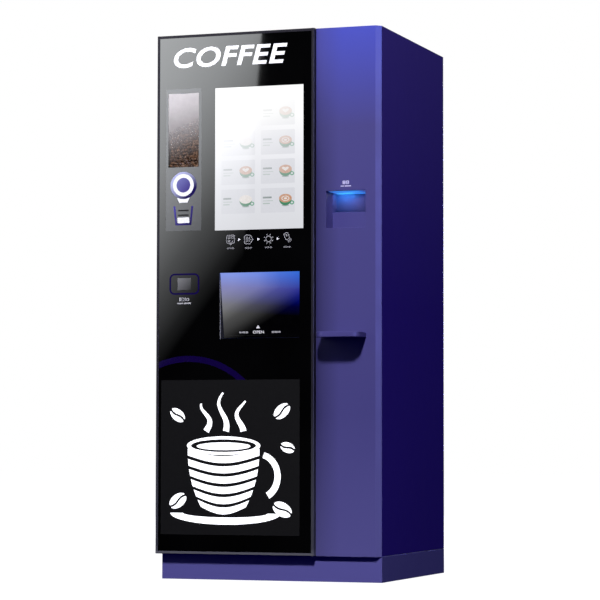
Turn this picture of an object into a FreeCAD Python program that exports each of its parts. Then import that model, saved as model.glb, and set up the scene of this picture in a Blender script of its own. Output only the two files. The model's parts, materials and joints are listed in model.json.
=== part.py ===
import FreeCAD, Part
import math
import os
import re
import Sketcher

# A floor-standing hot coffee vending machine. Millimetres, +Z up, the door and the column face -Y.
# Every place is worked out in the cabinet's corner frame (x from the left side panel's outer face,
# y from the cabinet's front plane, z from the floor) and each sub-part is then moved so that the
# origin is under the middle of the whole machine.

Vector = FreeCAD.Vector
Rotation = FreeCAD.Rotation

DIMENSIONS = {
    # cabinet
    "cabinet_width": 775, "cabinet_depth": 720, "cabinet_height": 1830,
    "plinth_height": 84, "gauge": 2, "kick_gauge": 3, "flange": 22, "seam": 1,
    "fit": 0.3, "running_fit": 0.05, "foot_inset": 60, "foot_radius": 22, "foot_pad": 10, "stem_radius": 6,
    # right-hand column with the lid recess and the shelf
    "column_width": 223, "column_depth": 17,
    "recess_inset": 35, "recess_bottom": 1164, "recess_width": 137, "recess_height": 123,
    "recess_depth": 105, "recess_rim": 12, "pocket_height": 57, "pocket_set_back": 68,
    "shelf_inset": 24, "shelf_width": 150, "shelf_reach": 95, "shelf_gauge": 17, "shelf_top": 818,
    "shelf_corner": 34, "shelf_edge": 2,
    # door
    "door_overhang": 11, "door_thickness": 31, "gasket_thickness": 4, "gasket_width": 8,
    "gasket_left_inset": 17, "gasket_right_inset": 11, "door_side_gap": 1.5, "door_bottom_gap": 1,
    "rail_face": 9, "rail_edge": 1.2,
    "rail_ledge": 9, "ledge_gauge": 4, "glass_inset": 1, "glass_gauge": 4,
    "screen_left": 199, "screen_bottom": 1165, "screen_width": 314, "screen_height": 479,
    "module_rim": 10, "module_depth": 18,
    "window_left": 30, "window_bottom": 1382, "window_width": 110, "window_height": 250,
    "lens_rim": 6, "lens_gauge": 3, "bean_box_depth": 18, "bean_box_wall": 3,
    "scanner_left": 65, "scanner_bottom": 967, "scanner_width": 49, "scanner_height": 41,
    # pick-up hatch
    "hatch_left": 216, "hatch_bottom": 802, "hatch_width": 284, "hatch_height": 220, "hatch_margin": 6,
    "flap_gauge": 4, "flap_tilt": 9.6, "flap_side_gap": 1, "flap_floor_gap": 5,
    "barrel_radius": 4.5, "flap_pin": 2.5, "flap_bracket": 8, "pivot_rise": 5, "barrel_gap": 1.5,
    # door hinges, on the left
    "hinge_out": 6.5, "hinge_back": 6, "knuckle_radius": 4.5, "hinge_pin": 2.5, "leaf_gauge": 1.5,
    "leaf_width": 30, "knuckle_length": 20, "knuckle_gap": 0.4, "hinge_low": 250, "hinge_pitch": 700,
    # magnets that hold the door shut
    "magnet_width": 30, "magnet_height": 150, "magnet_depth": 26, "magnet_low": 320, "magnet_pitch": 1120,
    "armature_gauge": 3,
    # decks
    "lower_deck_top": 786, "upper_deck_top": 1192, "deck_front": 6,
    # pick-up chamber with its tray
    "chamber_side": 13, "chamber_front": 6, "chamber_depth": 246, "chamber_height": 254,
    "cup_x": 360, "cup_y": 150, "drop_radius": 45, "drop_wall": 3,
    "tray_inset": 6, "grid_gauge": 3, "grid_slot": 5, "grid_pitch": 11, "grid_slots": 24,
    "spout_x": 270, "spout_y": 150, "spout_reach": 88, "spout_pin": 5, "arm_width": 16, "arm_height": 16,
    "arm_drop": 10, "nozzle_radius": 7, "nozzle_length": 12, "collar_radius": 9, "collar_height": 6,
    # cup turret
    "turret_pitch": 65, "stack_radius": 41, "tube_wall": 3, "turret_height": 440, "hub_radius": 16,
    "turret_clearance": 8, "shaft_radius": 6, "shaft_height": 48, "turret_plate": 4,
    "motor_radius": 16, "motor_height": 76,
    # bean hopper and grinder
    "hopper_left": 30, "hopper_front": 10, "hopper_width": 112, "hopper_depth": 180, "hopper_wall": 3,
    "funnel_height": 95, "store_height": 190, "neck_width": 40,
    "grinder_radius": 45, "grinder_height": 150, "grinder_cavity": 30, "burr_radius": 26,
    "burr_tip": 17, "burr_height": 50, "burr_shaft": 5, "grinder_floor": 38, "grinder_roof": 20,
    "throat_radius": 15, "outlet_radius": 7, "outlet_offset": 19, "lid_gauge": 4, "lid_rim": 2,
    # brewing group
    "brewer_left": 60, "brewer_width": 110, "brewer_back": 190, "brewer_gauge": 4, "brewer_height": 370,
    "gearbox_height": 94, "gearbox_width": 70, "brew_shelf": 168, "brew_radius": 28, "brew_wall": 6,
    "brew_length": 96, "piston_clearance": 0.4, "piston_height": 20, "rod_radius": 6, "rod_length": 150,
    # powder canisters
    "canister_left": 158, "canister_pitch": 74, "canister_width": 66, "canister_front": 60,
    "canister_depth": 190, "canister_bottom": 1390, "canister_height": 210, "canister_wall": 3,
    "auger_radius": 13, "auger_shaft": 4, "auger_rise": 20, "spout_hole": 9, "drive_gauge": 4,
    "drive_depth": 46, "drive_height": 56, "bowl_height": 60, "bowl_rise": 108, "bowl_outlet": 12,
    # water and waste
    "boiler_x": 100, "boiler_y": 420, "boiler_radius": 60, "boiler_height": 250,
    "pump_length": 90, "pump_radius": 28, "pipe_radius": 4, "pipe_bend": 24, "pipe_y": 300, "pipe_top": 1240,
    "pipe_low": 1080,
    "tank_left": 300, "tank_front": 300, "tank_width": 230, "tank_depth": 320, "tank_height": 400,
    "tank_wall": 4, "tank_cap": 34, "bin_left": 40, "bin_front": 50, "bin_width": 240, "bin_depth": 340,
    "bin_height": 330, "bin_wall": 3,
    # right-hand bay and rear
    "fan_size": 120, "fan_depth": 25, "fan_inset": 48, "fan_bottom": 1500, "fan_hole": 57,
    "fan_hub": 18, "fan_pin": 3, "fan_strut": 4, "blade_length": 37, "blade_gauge": 2.4, "blade_width": 14,
    "slot_height": 6, "slot_pitch": 13, "fan_slots": 9, "low_slots": 12, "low_slot_left": 120,
    "low_slot_width": 200, "low_slot_bottom": 160,
    "inlet_inset": 78, "inlet_bottom": 140, "inlet_width": 28, "inlet_height": 20, "inlet_depth": 26,
    "inlet_rim": 8, "box_front": 90, "box_bottom": 320, "box_width": 130, "box_depth": 220, "box_height": 300,
    "screw_radius": 5, "screw_head_height": 2, "screw_inset": 11,
}

PLACES = {
    "column_left": "cabinet_width - column_width",
    "origin_x": "(cabinet_width - door_overhang) / 2",
    "origin_y": "(cabinet_depth + screw_head_height - column_depth - shelf_reach) / 2",
    "wall_bottom": "plinth_height + gauge",
    "wall_top": "cabinet_height - gauge",
    "flange_back": "cabinet_depth - gauge",
    "flange_front": "cabinet_depth - 2 * gauge",
    "partition_front": "seam + gauge",
    "cover_inside": "gauge - column_depth",
    "door_back": "-gasket_thickness",
    "door_front": "door_back - door_thickness",
    "door_right": "column_left - door_side_gap",
    "door_bottom": "plinth_height + door_bottom_gap",
    "glass_left": "rail_face - door_overhang",
    "glass_right": "door_right - rail_face",
    "glass_bottom": "door_bottom + rail_face",
    "glass_top": "cabinet_height - rail_face",
    "glass_front": "door_front + glass_inset",
    "glass_back": "glass_front + glass_gauge",
    "ledge_back": "glass_back + ledge_gauge",
    "pivot_y": "glass_back + barrel_gap + barrel_radius",
    "pivot_z": "hatch_bottom + hatch_height + pivot_rise",
    "flap_length": "(pivot_z - hatch_bottom - flap_floor_gap) / cos(flap_tilt * 1 deg)",
    "lower_deck_under": "lower_deck_top - gauge",
    "upper_deck_under": "upper_deck_top - gauge",
    "chamber_left": "hatch_left - chamber_side",
    "chamber_width": "hatch_width + 2 * chamber_side",
    "chamber_roof": "lower_deck_top + chamber_height",
    "turret_x": "cup_x + turret_pitch",
    "turret_bottom": "upper_deck_top + turret_clearance",
    "hopper_x": "hopper_left + hopper_width / 2",
    "hopper_y": "hopper_front + hopper_depth / 2",
    "grinder_top": "upper_deck_top + grinder_height",
    "funnel_top": "grinder_top + funnel_height",
    "hopper_top": "funnel_top + store_height",
    "brewer_x": "brewer_left + brewer_width / 2",
    "brewer_y": "brewer_back - brewer_width / 2",
    "brew_shelf_top": "lower_deck_top + brew_shelf",
    "drive_plate": "canister_front + canister_depth",
    "auger_z": "canister_bottom + auger_rise",
    "bowl_bottom": "upper_deck_top + bowl_rise",
    "recess_left": "column_left + recess_inset",
    "shelf_left": "column_left + shelf_inset",
    "fan_left": "column_left + fan_inset",
    "inlet_left": "column_left + inlet_inset",
    "fan_front": "flange_back - fan_depth",
    "fan_x": "fan_left + fan_size / 2",
    "fan_z": "fan_bottom + fan_size / 2",
}

doc = FreeCAD.newDocument("coffee_machine")
starts = {}
subparts = []


def make_sheet(name, rows):
    """One spreadsheet: the row's name in column A, its value or formula in column B, under an alias."""
    sheet = doc.addObject("Spreadsheet::Sheet", name)
    for number, (alias, content) in enumerate(rows.items(), start=1):
        sheet.set(f"A{number}", alias.replace("_", " "))
        sheet.set(f"B{number}", str(content))
        sheet.setAlias(f"B{number}", alias)
    return sheet


def ref(formula):
    """A formula whose names of dimensions and places are references to their cells."""
    def cell(match):
        word = match.group()
        if word in DIMENSIONS:
            return "Dims." + word
        return "Places." + word if word in PLACES else word
    return re.sub(r"[a-z][a-z0-9_]*", cell, str(formula))


make_sheet("Dims", DIMENSIONS)
doc.recompute()
make_sheet("Places", {alias: "=" + ref(formula) for alias, formula in PLACES.items()})
doc.recompute()


# ---- building blocks ----

def set_place(thing, x, y, z):
    """Binds where a solid starts; a sub-part's start is later counted from the machine's origin."""
    starts[thing.Name] = (x, y, z)
    for axis, formula in zip("xyz", (x, y, z)):
        thing.setExpression("Placement.Base." + axis, ref(formula))


def block(name, x, y, z):
    """A box; each of x, y and z is the pair (start, size)."""
    box = doc.addObject("Part::Box", name)
    for size, (start, length) in zip(("Length", "Width", "Height"), (x, y, z)):
        box.setExpression(size, ref(length))
    set_place(box, x[0], y[0], z[0])
    return box


ALONG = {
    "x": Rotation(Vector(0, 1, 0), 90),
    "y": Rotation(Vector(1, 0, 0), -90),
    "z": Rotation(),
}


def rod(name, along, start, radius, length):
    """A cylinder that starts at the point start and runs along +x, +y or +z."""
    cylinder = doc.addObject("Part::Cylinder", name)
    cylinder.setExpression("Radius", ref(radius))
    cylinder.setExpression("Height", ref(length))
    cylinder.Placement = FreeCAD.Placement(Vector(), ALONG[along])
    set_place(cylinder, *start)
    return cylinder


def taper(name, along, start, radius, end_radius, length):
    """A cone frustum that starts at the point start and runs along +x, +y or +z."""
    cone = doc.addObject("Part::Cone", name)
    cone.setExpression("Radius1", ref(radius))
    cone.setExpression("Radius2", ref(end_radius))
    cone.setExpression("Height", ref(length))
    cone.Placement = FreeCAD.Placement(Vector(), ALONG[along])
    set_place(cone, *start)
    return cone


def funnel(name, centre, bottom, top, height):
    """A four-sided frustum; bottom and top are (half width, half depth) about the centre line."""
    wedge = doc.addObject("Part::Wedge", name)
    sizes = {
        "Xmin": f"-({bottom[0]})", "Xmax": bottom[0], "Zmin": f"-({bottom[1]})", "Zmax": bottom[1],
        "X2min": f"-({top[0]})", "X2max": top[0], "Z2min": f"-({top[1]})", "Z2max": top[1],
        "Ymin": "0", "Ymax": height,
    }
    for size, formula in sizes.items():
        wedge.setExpression(size, ref(formula))
    wedge.Placement = FreeCAD.Placement(Vector(), Rotation(Vector(1, 0, 0), 90))
    set_place(wedge, *centre)
    return wedge


def fuse(name, *solids):
    joined = doc.addObject("Part::MultiFuse", name)
    joined.Shapes = list(solids)
    return joined


def cut(name, base, *tools):
    left = doc.addObject("Part::Cut", name)
    left.Base = base
    left.Tool = tools[0] if len(tools) == 1 else fuse(name + "_tools", *tools)
    return left


def group(name, solids):
    """Separate solids of one kind that share a node."""
    together = doc.addObject("Part::Compound", name)
    together.Links = list(solids)
    return together


def subpart(thing, label):
    """Names a finished piece and counts its place from the machine's origin."""
    x, y, z = starts.get(thing.Name, ("0", "0", "0"))
    thing.Label = label
    set_place(thing, f"{x} - origin_x", f"{y} - origin_y", z)
    subparts.append(thing)
    return thing


# ---- sketched bodies ----

def new_body(name):
    body = doc.addObject("PartDesign::Body", name)
    doc.recompute()
    return body


def rectangle(x0, x1, y0, y1):
    return [(x0, y0), (x1, y0), (x1, y1), (x0, y1)]


def sketch_on(body, role, loops=(), circles=(), lift="0"):
    """A sketch on one of the body's planes: closed outlines and circles, every point of them bound."""
    sketch = body.newObject("Sketcher::SketchObject", body.Name + "_sketch")
    plane = next(item for item in body.Origin.OriginFeatures if item.Role == role)
    sketch.AttachmentSupport = [(plane, "")]
    sketch.MapMode = "FlatFace"
    sketch.setExpression("AttachmentOffset.Base.z", ref(lift))
    for points in loops:
        add_outline(sketch, points)
    for x, y, radius in circles:
        add_circle(sketch, x, y, radius)
    return sketch


def bind_point(sketch, edge, end, x, y, guess):
    for kind, formula, value in (("DistanceX", x, guess.x), ("DistanceY", y, guess.y)):
        number = sketch.addConstraint(Sketcher.Constraint(kind, -1, 1, edge, end, value))
        sketch.setExpression(f"Constraints[{number}]", ref(formula))


def add_outline(sketch, points):
    """Straight edges joined end to end; they start on a circle and are drawn out by their constraints."""
    first = sketch.GeometryCount
    count = len(points)
    turn = 2 * math.pi / count
    guesses = [Vector(100 * math.cos(i * turn) + 200, 100 * math.sin(i * turn) + 200, 0)
               for i in range(count)]
    for i in range(count):
        sketch.addGeometry(Part.LineSegment(guesses[i], guesses[(i + 1) % count]), False)
    for i in range(count):
        sketch.addConstraint(Sketcher.Constraint("Coincident", first + i, 2, first + (i + 1) % count, 1))
    for i, (x, y) in enumerate(points):
        bind_point(sketch, first + i, 1, x, y, guesses[i])


def add_circle(sketch, x, y, radius):
    guess = Vector(10, 10, 0)
    edge = sketch.addGeometry(Part.Circle(guess, Vector(0, 0, 1), 5), False)
    bind_point(sketch, edge, 3, x, y, guess)
    number = sketch.addConstraint(Sketcher.Constraint("Radius", edge, 5))
    sketch.setExpression(f"Constraints[{number}]", ref(radius))


def pad(body, sketch, length):
    feature = body.newObject("PartDesign::Pad", body.Name + "_pad")
    feature.Profile = sketch
    feature.setExpression("Length", ref(length))
    sketch.Visibility = False
    doc.recompute()
    return feature


def pocket(body, sketch, length):
    """Cuts both ways from the sketch, and checks that something was cut."""
    before = body.Shape.Volume
    feature = body.newObject("PartDesign::Pocket", body.Name + "_pocket")
    feature.Profile = sketch
    feature.Midplane = True
    feature.setExpression("Length", ref(length))
    doc.recompute()
    assert body.Shape.Volume < before, body.Name + ": the pocket cuts nothing"
    return feature


def repeat(body, feature, sketch, axis, length, count):
    """A linear pattern of one feature along a sketch axis."""
    pattern = body.newObject("PartDesign::LinearPattern", body.Name + "_pattern")
    pattern.Originals = [feature]
    pattern.Direction = (sketch, [axis])
    pattern.setExpression("Length", ref(length))
    pattern.setExpression("Occurrences", ref(count))
    body.Tip = pattern
    doc.recompute()
    return pattern


def fillet_upright(body, radius, chosen):
    """Rounds the upright edges of the body's last feature that chosen(x, y) picks."""
    last = body.Tip
    names = []
    for number, edge in enumerate(last.Shape.Edges, start=1):
        low, high = edge.Vertexes[0].Point, edge.Vertexes[-1].Point
        upright = abs(low.x - high.x) < 1e-6 and abs(low.y - high.y) < 1e-6
        if upright and chosen(low.x, low.y):
            names.append(f"Edge{number}")
    rounding = body.newObject("PartDesign::Fillet", body.Name + "_fillet")
    rounding.Base = (last, names)
    rounding.setExpression("Radius", ref(radius))
    doc.recompute()
    return rounding


def upright_panel(label, y, thickness, loops, circles=()):
    """A plate parallel to the front, from its back face at y towards the front."""
    body = new_body(label)
    pad(body, sketch_on(body, "XZ_Plane", loops, circles), thickness)
    set_place(body, "0", y, "0")
    return body


def flat_plate(label, z, thickness, loops, circles=()):
    """A level plate from its lower face at z upwards."""
    body = new_body(label)
    pad(body, sketch_on(body, "XY_Plane", loops, circles), thickness)
    set_place(body, "0", "0", z)
    return body


# ---- cabinet ----

def side_panel(label, outer, inner, lip):
    """A folded sheet with a flange at the front and one at the back; outer, inner and lip are x values."""
    body = new_body(label)
    outline = [
        (outer, "0"), (lip, "0"), (lip, "gauge"), (inner, "gauge"),
        (inner, "flange_front"), (lip, "flange_front"), (lip, "flange_back"), (outer, "flange_back"),
    ]
    pad(body, sketch_on(body, "XY_Plane", [outline]), "wall_top - wall_bottom")
    set_place(body, "0", "0", "wall_bottom")
    subpart(body, label)


def make_cabinet():
    side_panel("left_side_panel", "0", "gauge", "flange")
    side_panel("right_side_panel", "cabinet_width", "cabinet_width - gauge", "cabinet_width - flange")
    between_flanges = ("flange", "cabinet_width - 2 * flange")
    roof = fuse(
        "roof_panel",
        block("roof_sheet", ("0", "cabinet_width"), ("0", "cabinet_depth"), ("wall_top", "gauge")),
        block("roof_front_lip", between_flanges, ("0", "gauge"), ("cabinet_height - flange", "flange")),
        block("roof_rear_lip", between_flanges, ("flange_front", "gauge"),
              ("cabinet_height - flange", "flange")),
    )
    subpart(roof, "roof_panel")
    floor = fuse(
        "floor_pan",
        block("floor_sheet", ("seam", "cabinet_width - 2 * seam"), ("seam", "cabinet_depth - 2 * seam"),
              ("plinth_height", "gauge")),
        block("floor_front_lip", between_flanges, ("seam", "gauge"), ("plinth_height", "flange + gauge")),
        block("floor_rear_lip", between_flanges, ("flange_front", "gauge"),
              ("plinth_height", "flange + gauge")),
    )
    subpart(floor, "floor_pan")
    partition = new_body("bay_partition")
    outline = [
        ("column_left - flange", "partition_front"), ("column_left + gauge", "partition_front"),
        ("column_left + gauge", "flange_front"), ("column_left", "flange_front"),
        ("column_left", "partition_front + gauge"), ("column_left - flange", "partition_front + gauge"),
    ]
    pad(partition, sketch_on(partition, "XY_Plane", [outline]), "wall_top - flange - wall_bottom")
    set_place(partition, "0", "0", "wall_bottom")
    subpart(partition, "bay_partition")


def make_plinth():
    inside = ("kick_gauge", "cabinet_depth - 2 * kick_gauge")
    upright = ("0", "plinth_height")
    across = ("0", "cabinet_width")
    plates = [
        block("kick_front", across, ("0", "kick_gauge"), upright),
        block("kick_rear", across, ("cabinet_depth - kick_gauge", "kick_gauge"), upright),
        block("kick_left", ("0", "kick_gauge"), inside, upright),
        block("kick_right", ("cabinet_width - kick_gauge", "kick_gauge"), inside, upright),
    ]
    subpart(group("kick_plates", plates), "kick_plates")
    feet = []
    for x in ("foot_inset", "cabinet_width - foot_inset"):
        for y in ("foot_inset", "cabinet_depth - foot_inset"):
            number = len(feet)
            pad_disc = rod(f"foot_pad_{number}", "z", (x, y, "0"), "foot_radius", "foot_pad")
            stem = rod(f"foot_stem_{number}", "z", (x, y, "foot_pad / 2"), "stem_radius",
                       "plinth_height - foot_pad / 2")
            feet.append(fuse(f"foot_{number}", pad_disc, stem))
    subpart(group("levelling_feet", feet), "levelling_feet")


def make_rear():
    """The rear panel with its air slots and inlet cut-out, and the screws that hold it."""
    body = upright_panel(
        "rear_panel", "cabinet_depth", "gauge",
        [rectangle("0", "cabinet_width", "wall_bottom", "wall_top"),
         rectangle("inlet_left", "inlet_left + inlet_width", "inlet_bottom", "inlet_bottom + inlet_height")],
    )
    slots = (
        ("fan_left + inlet_rim", "fan_size - 2 * inlet_rim", "fan_bottom + inlet_rim / 2", "fan_slots"),
        ("low_slot_left", "low_slot_width", "low_slot_bottom", "low_slots"),
    )
    for left, width, bottom, count in slots:
        outline = rectangle(left, f"{left} + {width}", bottom, f"{bottom} + slot_height")
        sketch = sketch_on(body, "XZ_Plane", [outline])
        slot = pocket(body, sketch, "4 * gauge")
        repeat(body, slot, sketch, "V_Axis", f"({count} - 1) * slot_pitch", count)
    subpart(body, "rear_panel")
    screws = []
    for x in ("screw_inset", "cabinet_width / 2", "cabinet_width - screw_inset"):
        for step in range(5):
            z = f"wall_bottom + screw_inset + {step} * (wall_top - wall_bottom - 2 * screw_inset) / 4"
            name = f"rear_screw_{len(screws)}"
            screws.append(taper(name, "y", (x, "cabinet_depth", z), "screw_radius", "screw_radius - 1.5",
                                "screw_head_height"))
    subpart(group("rear_screws", screws), "rear_screws")


def make_decks():
    outline = rectangle("gauge", "column_left", "deck_front", "flange_front")
    lower = flat_plate("lower_deck", "lower_deck_under", "gauge", [outline])
    subpart(lower, "lower_deck")
    holes = [
        ("cup_x", "cup_y", "drop_radius"),
        ("turret_x", "cup_y", "shaft_radius + 7"),
        ("hopper_x + outlet_offset", "hopper_y", "outlet_radius + gauge"),
        ("boiler_x", "pipe_y", "pipe_radius + 3"),
    ]
    for step in range(2):
        holes.append((f"canister_left + canister_width / 2 + {step} * canister_pitch",
                      "canister_front + bowl_outlet * 2", "bowl_outlet"))
    upper = flat_plate("upper_deck", "upper_deck_under", "gauge", [outline], holes)
    subpart(upper, "upper_deck")


# ---- right-hand column ----

def make_column():
    body = new_body("column_cover")
    slant = "gauge * sqrt(2)"
    outline = [
        ("column_left", "0"), ("column_left", "-column_depth"),
        ("cabinet_width - column_depth", "-column_depth"), ("cabinet_width", "0"),
        ("cabinet_width - flange", "0"), ("cabinet_width - flange", "-gauge"),
        (f"cabinet_width - gauge - {slant}", "-gauge"),
        (f"cabinet_width - column_depth + gauge - {slant}", "cover_inside"),
        ("column_left + gauge", "cover_inside"), ("column_left + gauge", "0"),
    ]
    pad(body, sketch_on(body, "XY_Plane", [outline]), "cabinet_height - plinth_height")
    mouth = rectangle("recess_left", "recess_left + recess_width",
                      "recess_bottom - plinth_height", "recess_bottom + recess_height - plinth_height")
    pocket(body, sketch_on(body, "XZ_Plane", [mouth]), "4 * column_depth")
    set_place(body, "0", "0", "plinth_height")
    subpart(body, "column_cover")


def make_recess():
    """The lid recess: a box behind the column's cut-out, with a rim and a lid pocket in its lower half."""
    shell = block(
        "recess_shell", ("recess_left - gauge", "recess_width + 2 * gauge"),
        ("cover_inside", "recess_depth + gauge"), ("recess_bottom - gauge", "recess_height + 2 * gauge"))
    rim = block(
        "recess_flange", ("recess_left - recess_rim", "recess_width + 2 * recess_rim"),
        ("cover_inside", "gauge"), ("recess_bottom - recess_rim", "recess_height + 2 * recess_rim"))
    hollow = block(
        "recess_hollow", ("recess_left", "recess_width"),
        ("cover_inside - 1", "recess_depth + 1"), ("recess_bottom", "recess_height"))
    pocket_front = block(
        "lid_pocket_front", ("recess_left", "recess_width"),
        ("cover_inside + pocket_set_back", "gauge"), ("recess_bottom", "pocket_height"))
    liner = cut("recess_open", fuse("recess_box", shell, rim), hollow)
    subpart(fuse("recess_liner", liner, pocket_front), "recess_liner")


def make_shelf():
    body = new_body("side_shelf")
    outline = rectangle("shelf_left", "shelf_left + shelf_width", "-column_depth - shelf_reach",
                        "-column_depth")
    pad(body, sketch_on(body, "XY_Plane", [outline]), "shelf_gauge")
    front = -(DIMENSIONS["column_depth"] + DIMENSIONS["shelf_reach"])
    rounding = fillet_upright(body, "shelf_corner", lambda x, y: abs(y - front) < 0.01)
    top = DIMENSIONS["shelf_gauge"]
    wall = -DIMENSIONS["column_depth"]
    names = []
    for number, edge in enumerate(rounding.Shape.Edges, start=1):
        box = edge.BoundBox
        level = abs(box.ZMax - box.ZMin) < 0.01
        at_wall = abs(box.YMin - wall) < 0.01
        if level and not at_wall and abs(box.ZMax - top) < top:
            names.append(f"Edge{number}")
    softened = body.newObject("PartDesign::Fillet", "side_shelf_edge")
    softened.Base = (rounding, names)
    softened.setExpression("Radius", ref("shelf_edge"))
    doc.recompute()
    set_place(body, "0", "0", "shelf_top - shelf_gauge")
    subpart(body, "side_shelf")


# ---- door ----

def door_upright(label, outer, inner, ledge, bevel):
    """An upright door rail: a wall with its front outer edge bevelled, and the ledge the glass lies on."""
    body = new_body(label)
    wall = [
        (inner, "door_front"), (inner, "door_back"), (outer, "door_back"),
        (outer, "door_front + rail_edge"), (bevel, "door_front"),
    ]
    pad(body, sketch_on(body, "XY_Plane", [wall]), "cabinet_height - door_bottom")
    step = rectangle(inner, ledge, "glass_back", "ledge_back")
    pad(body, sketch_on(body, "XY_Plane", [step], lift="rail_face"), "glass_top - glass_bottom")
    set_place(body, "0", "0", "door_bottom")
    subpart(body, label)


def door_cross_rail(label, outer, inner, ledge, bevel):
    """A level door rail between the uprights; outer, inner, ledge and bevel are z values."""
    body = new_body(label)
    wall = [
        ("door_front", inner), ("door_back", inner), ("door_back", outer),
        ("door_front + rail_edge", outer), ("door_front", bevel),
    ]
    pad(body, sketch_on(body, "YZ_Plane", [wall]), "glass_right - glass_left")
    step = rectangle("glass_back", "ledge_back", inner, ledge)
    pad(body, sketch_on(body, "YZ_Plane", [step], lift="rail_ledge"),
        "glass_right - glass_left - 2 * rail_ledge")
    set_place(body, "glass_left", "0", "0")
    subpart(body, label)


def make_door_frame():
    door_upright("door_left_rail", "-door_overhang", "glass_left", "glass_left + rail_ledge",
                 "-door_overhang + rail_edge")
    door_upright("door_right_rail", "door_right", "glass_right", "glass_right - rail_ledge",
                 "door_right - rail_edge")
    door_cross_rail("door_top_rail", "cabinet_height", "glass_top", "glass_top - rail_ledge",
                    "cabinet_height - rail_edge")
    door_cross_rail("door_bottom_rail", "door_bottom", "glass_bottom", "glass_bottom + rail_ledge",
                    "door_bottom + rail_edge")


def make_door_panels():
    hatch = rectangle("hatch_left", "hatch_left + hatch_width", "hatch_bottom", "hatch_bottom + hatch_height")
    screen = rectangle("screen_left", "screen_left + screen_width",
                       "screen_bottom", "screen_bottom + screen_height")
    window = rectangle("window_left", "window_left + window_width",
                       "window_bottom", "window_bottom + window_height")
    scanner = rectangle("scanner_left", "scanner_left + scanner_width",
                        "scanner_bottom", "scanner_bottom + scanner_height")
    pane = rectangle("glass_left + fit", "glass_right - fit", "glass_bottom + fit", "glass_top - fit")
    glass = upright_panel("door_glass", "glass_back", "glass_gauge", [pane, hatch, screen, window, scanner])
    subpart(glass, "door_glass")
    sheet = rectangle("glass_left", "glass_right", "glass_bottom", "glass_top")
    port = rectangle("hatch_left - hatch_margin", "hatch_left + hatch_width + hatch_margin",
                     "hatch_bottom - hatch_margin", "pivot_z + 2 * barrel_radius")
    back = upright_panel("door_back_panel", "door_back", "gauge", [sheet, port])
    subpart(back, "door_back_panel")
    edge = ("gasket_left_inset - door_overhang",
            "door_right + door_overhang - gasket_left_inset - gasket_right_inset")
    outer = block("gasket_outer", edge, ("door_back", "gasket_thickness - fit"),
                  ("door_bottom + gasket_width", "cabinet_height - door_bottom - 2 * gasket_width"))
    inner = block("gasket_inner", (f"{edge[0]} + gasket_width", f"{edge[1]} - 2 * gasket_width"),
                  ("door_back - 1", "gasket_thickness + 2"),
                  ("door_bottom + 2 * gasket_width", "cabinet_height - door_bottom - 4 * gasket_width"))
    subpart(cut("door_gasket", outer, inner), "door_gasket")


def stepped_module(label, left, bottom, width, height, rim, depth):
    """A module whose face fills its cut-out in the glass and whose wider body lies on the glass's back."""
    face = block(label + "_face", (f"{left} + fit", f"{width} - 2 * fit"), ("glass_front", "glass_gauge + 1"),
                 (f"{bottom} + fit", f"{height} - 2 * fit"))
    case = block(label + "_case", (f"{left} - {rim}", f"{width} + 2 * {rim}"), ("glass_back", depth),
                 (f"{bottom} - {rim}", f"{height} + 2 * {rim}"))
    subpart(fuse(label, face, case), label)


def make_door_modules():
    stepped_module("display_module", "screen_left", "screen_bottom", "screen_width", "screen_height",
                   "module_rim", "module_depth")
    stepped_module("scanner_module", "scanner_left", "scanner_bottom", "scanner_width", "scanner_height",
                   "module_rim", "module_depth")
    stepped_module("bean_window", "window_left", "window_bottom", "window_width", "window_height",
                   "lens_rim", "lens_gauge")
    box = block("bean_box_shell", ("window_left - lens_rim", "window_width + 2 * lens_rim"),
                ("glass_back + lens_gauge", "bean_box_depth"),
                ("window_bottom - lens_rim", "window_height + 2 * lens_rim"))
    hollow = block("bean_box_hollow",
                   ("window_left - lens_rim + bean_box_wall",
                    "window_width + 2 * lens_rim - 2 * bean_box_wall"),
                   ("glass_back + lens_gauge - 1", "bean_box_depth + 1 - bean_box_wall"),
                   ("window_bottom - lens_rim + bean_box_wall",
                    "window_height + 2 * lens_rim - 2 * bean_box_wall"))
    subpart(cut("bean_box", box, hollow), "bean_box")


def hinge_heights():
    return [f"hinge_low + {step} * hinge_pitch" for step in range(3)]


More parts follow.
